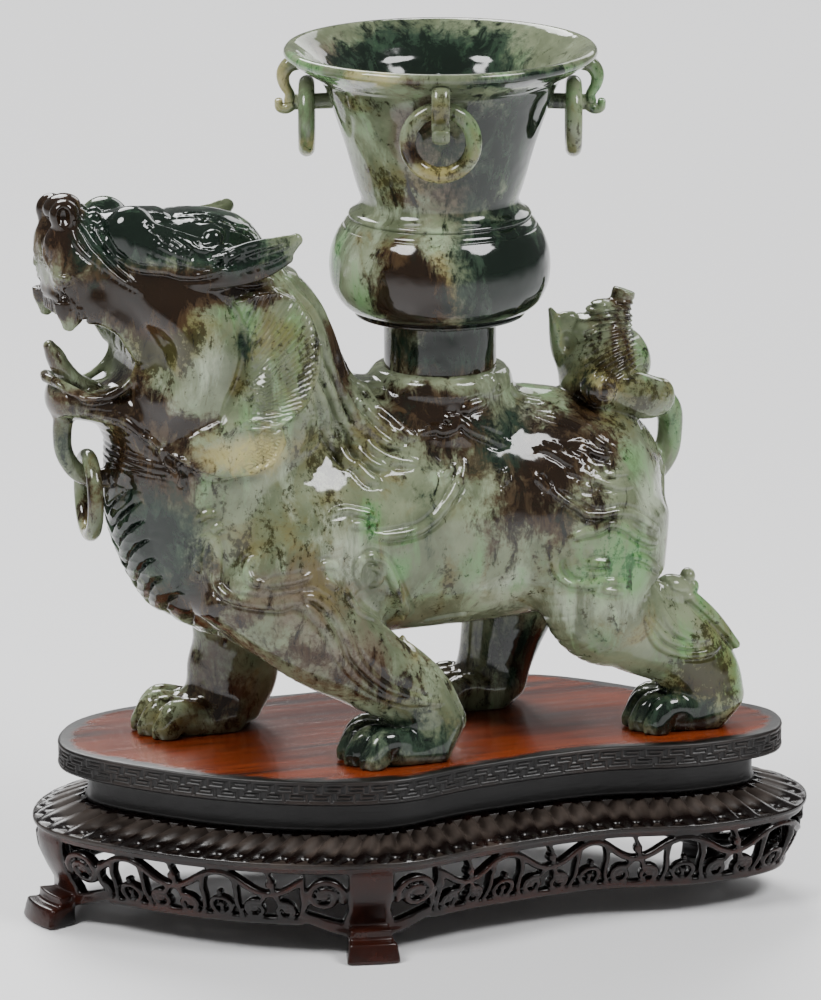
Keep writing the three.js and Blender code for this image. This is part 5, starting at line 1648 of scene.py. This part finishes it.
def make_base(material):
    """The stand's base, carved along the unrolled outline and wrapped round it, with the plate inside
    that the board rests on. Wear shows on the apron's outer face, dust between the petals."""
    outline = stand_outline(OUTLINE_STEPS)
    read = base_field(outline)
    vertices, faces = zero_surface(lambda points: in_chunks(read, points), (0, -2, -12), (outline[2], 39, 15),
                                   outline[2] / BASE_CELLS, around=True)
    vertices = wrapped(vertices[:, 0], vertices[:, 2], vertices[:, 1], outline)
    points, triangles = decimated("base", vertices, faces, BASE_TRIANGLES)
    columns = 240
    ring = np.arange(columns) * outline[2] / columns
    rings = [wrapped(ring, np.full(columns, out), np.full(columns, z), outline)
             for out, z in ((-7.2, 30.2), (-7.0, 30.6), (-7.0, 36.4), (-7.4, 36.8))]
    middle = rings[0][:, :2].mean(0)
    rings = [shrunk(rings[0], middle, 0.5), *rings, shrunk(rings[-1], middle, 0.5)]
    poles = [(*middle, 30.2), (*middle, 36.8)]
    plate = np.vstack([np.vstack(rings), poles]), grid_faces(len(rings), columns, True, True)
    vertices, faces = joined([(points, triangles), plate])
    out, z = off_outline(vertices, outline), vertices[:, 2]
    face = np.interp(z, APRON_Z, APRON_OUT)
    low = (z < 30).astype(float)
    worn = low * 0.8 * ((out - face + 0.9) / 0.9).clip(0, 1) + (1 - low) * 0.3
    dust = (1 - low) * ((7.2 - out) / 9).clip(0, 0.8) * (z < 36.6) + (np.abs(z - 30.6) < 1.3) * 0.5
    masks = {"worn": worn, "dust": dust}
    return make_piece("base", vertices, faces, material, ["stand_base"], masks=masks)


def on_vase(azimuth, radius, z):
    """A place at an azimuth round the vase's axis and a height, counted as the camera's azimuth is:
    0 is -Y and 90 is +X."""
    a = math.radians(azimuth)
    return radius * math.sin(a), -radius * math.cos(a), z


VASE_TINTS = [
    ("pale", on_vase(-80, 36, 250), (18, 18, 26), 0.6),
    ("green", on_vase(-75, 36, 254), (16, 16, 22), 0.45),
    ("olive", on_vase(-50, 30, 238), (13, 13, 8), 1.0),
    ("brown", on_vase(-46, 30, 234), (9, 9, 6), 0.7),
    ("olive", on_vase(-70, 36, 264), (14, 14, 5), 0.6),
    ("mauve", on_vase(-34, 33, 256), (9, 9, 16), 0.95),
    ("brown", on_vase(-22, 34, 262), (12, 8, 8), 0.8),
    ("dark", on_vase(10, 34, 252), (24, 20, 26), 0.95),
    ("mauve", on_vase(0, 34, 250), (22, 20, 26), 0.8),
    ("dark", on_vase(50, 34, 250), (16, 20, 24), 0.75),
    ("mauve", on_vase(-12, 28, 236), (14, 14, 8), 0.7),
    ("pale", on_vase(-80, 34, 210), (16, 16, 16), 0.5),
    ("green", on_vase(-96, 32, 210), (12, 12, 12), 0.9),
    ("green", on_vase(-62, 34, 200), (9, 9, 8), 0.5),
    ("brown", on_vase(-44, 34, 204), (9, 9, 14), 1.3),
    ("brown", on_vase(-28, 34, 206), (12, 10, 13), 1.2),
    ("olive", on_vase(-44, 34, 216), (12, 10, 6), 0.8),
    ("cream", on_vase(-22, 36, 216), (4, 6, 7), 1.0),
    ("cream", on_vase(-16, 36, 204), (3.4, 6, 9), 1.0),
    ("olive", on_vase(-18, 35, 208), (6, 7, 14), 0.8),
    ("dark", on_vase(14, 34, 208), (17, 18, 18), 1.3),
    ("dark", on_vase(45, 34, 208), (16, 18, 18), 1.0),
    ("mauve", on_vase(-14, 34, 199), (26, 20, 6), 0.9),
    ("brown", on_vase(-20, 28, 192), (34, 34, 3.4), 0.9),
    ("cream", on_vase(-45, 48, 275), (9, 9, 3), 1.0),
    ("brown", on_vase(-30, 48, 274), (5, 5, 3), 0.8),
    ("green", on_vase(-85, 48, 274), (26, 26, 4), 0.8),
    ("green", on_vase(30, 48, 274), (24, 14, 3), 0.9),
    ("dark", on_vase(14, 48, 274), (20, 12, 2.4), 0.7),
    ("dark", on_vase(165, 38, 263), (44, 26, 13), 1.5),
    ("green", on_vase(150, 42, 268), (34, 20, 6), 0.8),
    ("mauve", on_vase(-140, 40, 266), (15, 15, 12), 1.1),
    ("brown", on_vase(180, 24, 252), (30, 30, 12), 1.1),
    ("cream", on_vase(-110, 50, 262), (7, 7, 11), 0.9),
    ("green", on_vase(70, 50, 262), (7, 7, 11), 0.9),
    ("olive", on_vase(-20, 50, 266), (7, 7, 9), 0.9),
    ("brown", on_vase(-20, 10, 181), (26, 26, 11), 1.3),
    ("dark", on_vase(-20, 20, 184), (26, 26, 9), 1.0),
]

RING_TINTS = {
    "front": [("olive", (0, 0, 0), (14, 14, 14), 0.9), ("cream", (0, -3, -9), (9, 8, 6), 0.9),
              ("brown", (0, -9, -3), (9, 4, 5), 1.0), ("green", (0, 8, 4), (9, 8, 9), 0.9)],
    "right": [("green", (0, 0, 6), (9, 12, 9), 1.0), ("dark", (0, 6, -8), (9, 9, 6), 0.7),
              ("olive", (0, -6, -6), (9, 9, 9), 0.8)],
    "back": [("green", (0, 0, 6), (9, 12, 9), 0.6)],
    "left": [("green", (0, 0, 0), (9, 14, 14), 0.8), ("cream", (0, 6, -8), (9, 9, 7), 0.8)],
    "chin": [("olive", (0, 0, 0), (9, 14, 14), 0.8), ("cream", (0, 0, -10), (9, 9, 6), 0.6),
             ("brown", (0, -9, 3), (9, 6, 8), 1.0), ("brown", (0, 6, -6), (9, 5, 5), 0.9)],
}


def toward(azimuth, elevation):
    """Unit vector from the object to a place at an azimuth and elevation, in degrees. Azimuth 0 is
    the near side, -Y, and 90 is +X."""
    a, e = math.radians(azimuth), math.radians(elevation)
    return np.array([math.sin(a) * math.cos(e), -math.cos(a) * math.cos(e), math.sin(e)])


def aim(thing, azimuth, elevation, distance):
    """Puts a camera or light round the camera's target, looking at it."""
    back = Vector(toward(azimuth, elevation))
    thing.location = (Vector(CAMERA_TARGET) + back * distance) * MM
    thing.rotation_euler = (-back).to_track_quat("-Z", "Y").to_euler()


def make_camera():
    """The camera, at the photograph's angle and distance."""
    camera = bpy.data.objects.new("camera", bpy.data.cameras.new("camera"))
    bpy.context.scene.collection.objects.link(camera)
    camera.data.lens = CAMERA_LENS
    camera.data.clip_end = 50
    aim(camera, CAMERA_AZIMUTH, CAMERA_ELEVATION, CAMERA_DISTANCE)
    bpy.context.scene.camera = camera


def make_light(name, azimuth, elevation, distance, width, power):
    """A round softbox: an area light of a width in millimetres."""
    light = bpy.data.lights.new(name, "AREA")
    light.shape = "DISK"
    light.size = width * MM
    light.energy = power
    thing = bpy.data.objects.new(name, light)
    bpy.context.scene.collection.objects.link(thing)
    aim(thing, azimuth, elevation, distance)


def make_studio():
    """Two round softboxes, one on each side of the camera, a large one behind for the floor and the
    stone's edges, a smaller one low behind for the far floor, and a pale surround."""
    for name, setting in SOFTBOXES.items():
        make_light(name, *setting)
    world = bpy.data.worlds.new("surround")
    world.use_nodes = True
    background = world.node_tree.nodes["Background"]
    background.inputs["Color"].default_value = (SURROUND_GREY, SURROUND_GREY, SURROUND_GREY, 1)
    background.inputs["Strength"].default_value = SURROUND_STRENGTH
    bpy.context.scene.world = world


def make_floor():
    """A plain pale floor."""
    paint = Paint("floor_paper")
    mesh = bpy.data.meshes.new("floor")
    corners = np.array([(-1, -1, 0), (1, -1, 0), (1, 1, 0), (-1, 1, 0)]) * FLOOR_REACH
    fill_mesh(mesh, corners * MM, np.array([[0, 1, 2, 3]]))
    mesh.materials.append(paint.finish(Base_Color=(0.82, 0.82, 0.83, 1), Roughness=0.55))
    floor = bpy.data.objects.new("floor", mesh)
    bpy.context.scene.collection.objects.link(floor)


make_camera()
make_studio()
make_floor()
make_lion(jade_material("lion_stone"))
make_vase(jade_material("vase_stone"))
make_rings(jade_material("ring_stone"))
make_board(board_material())
make_base(base_material())
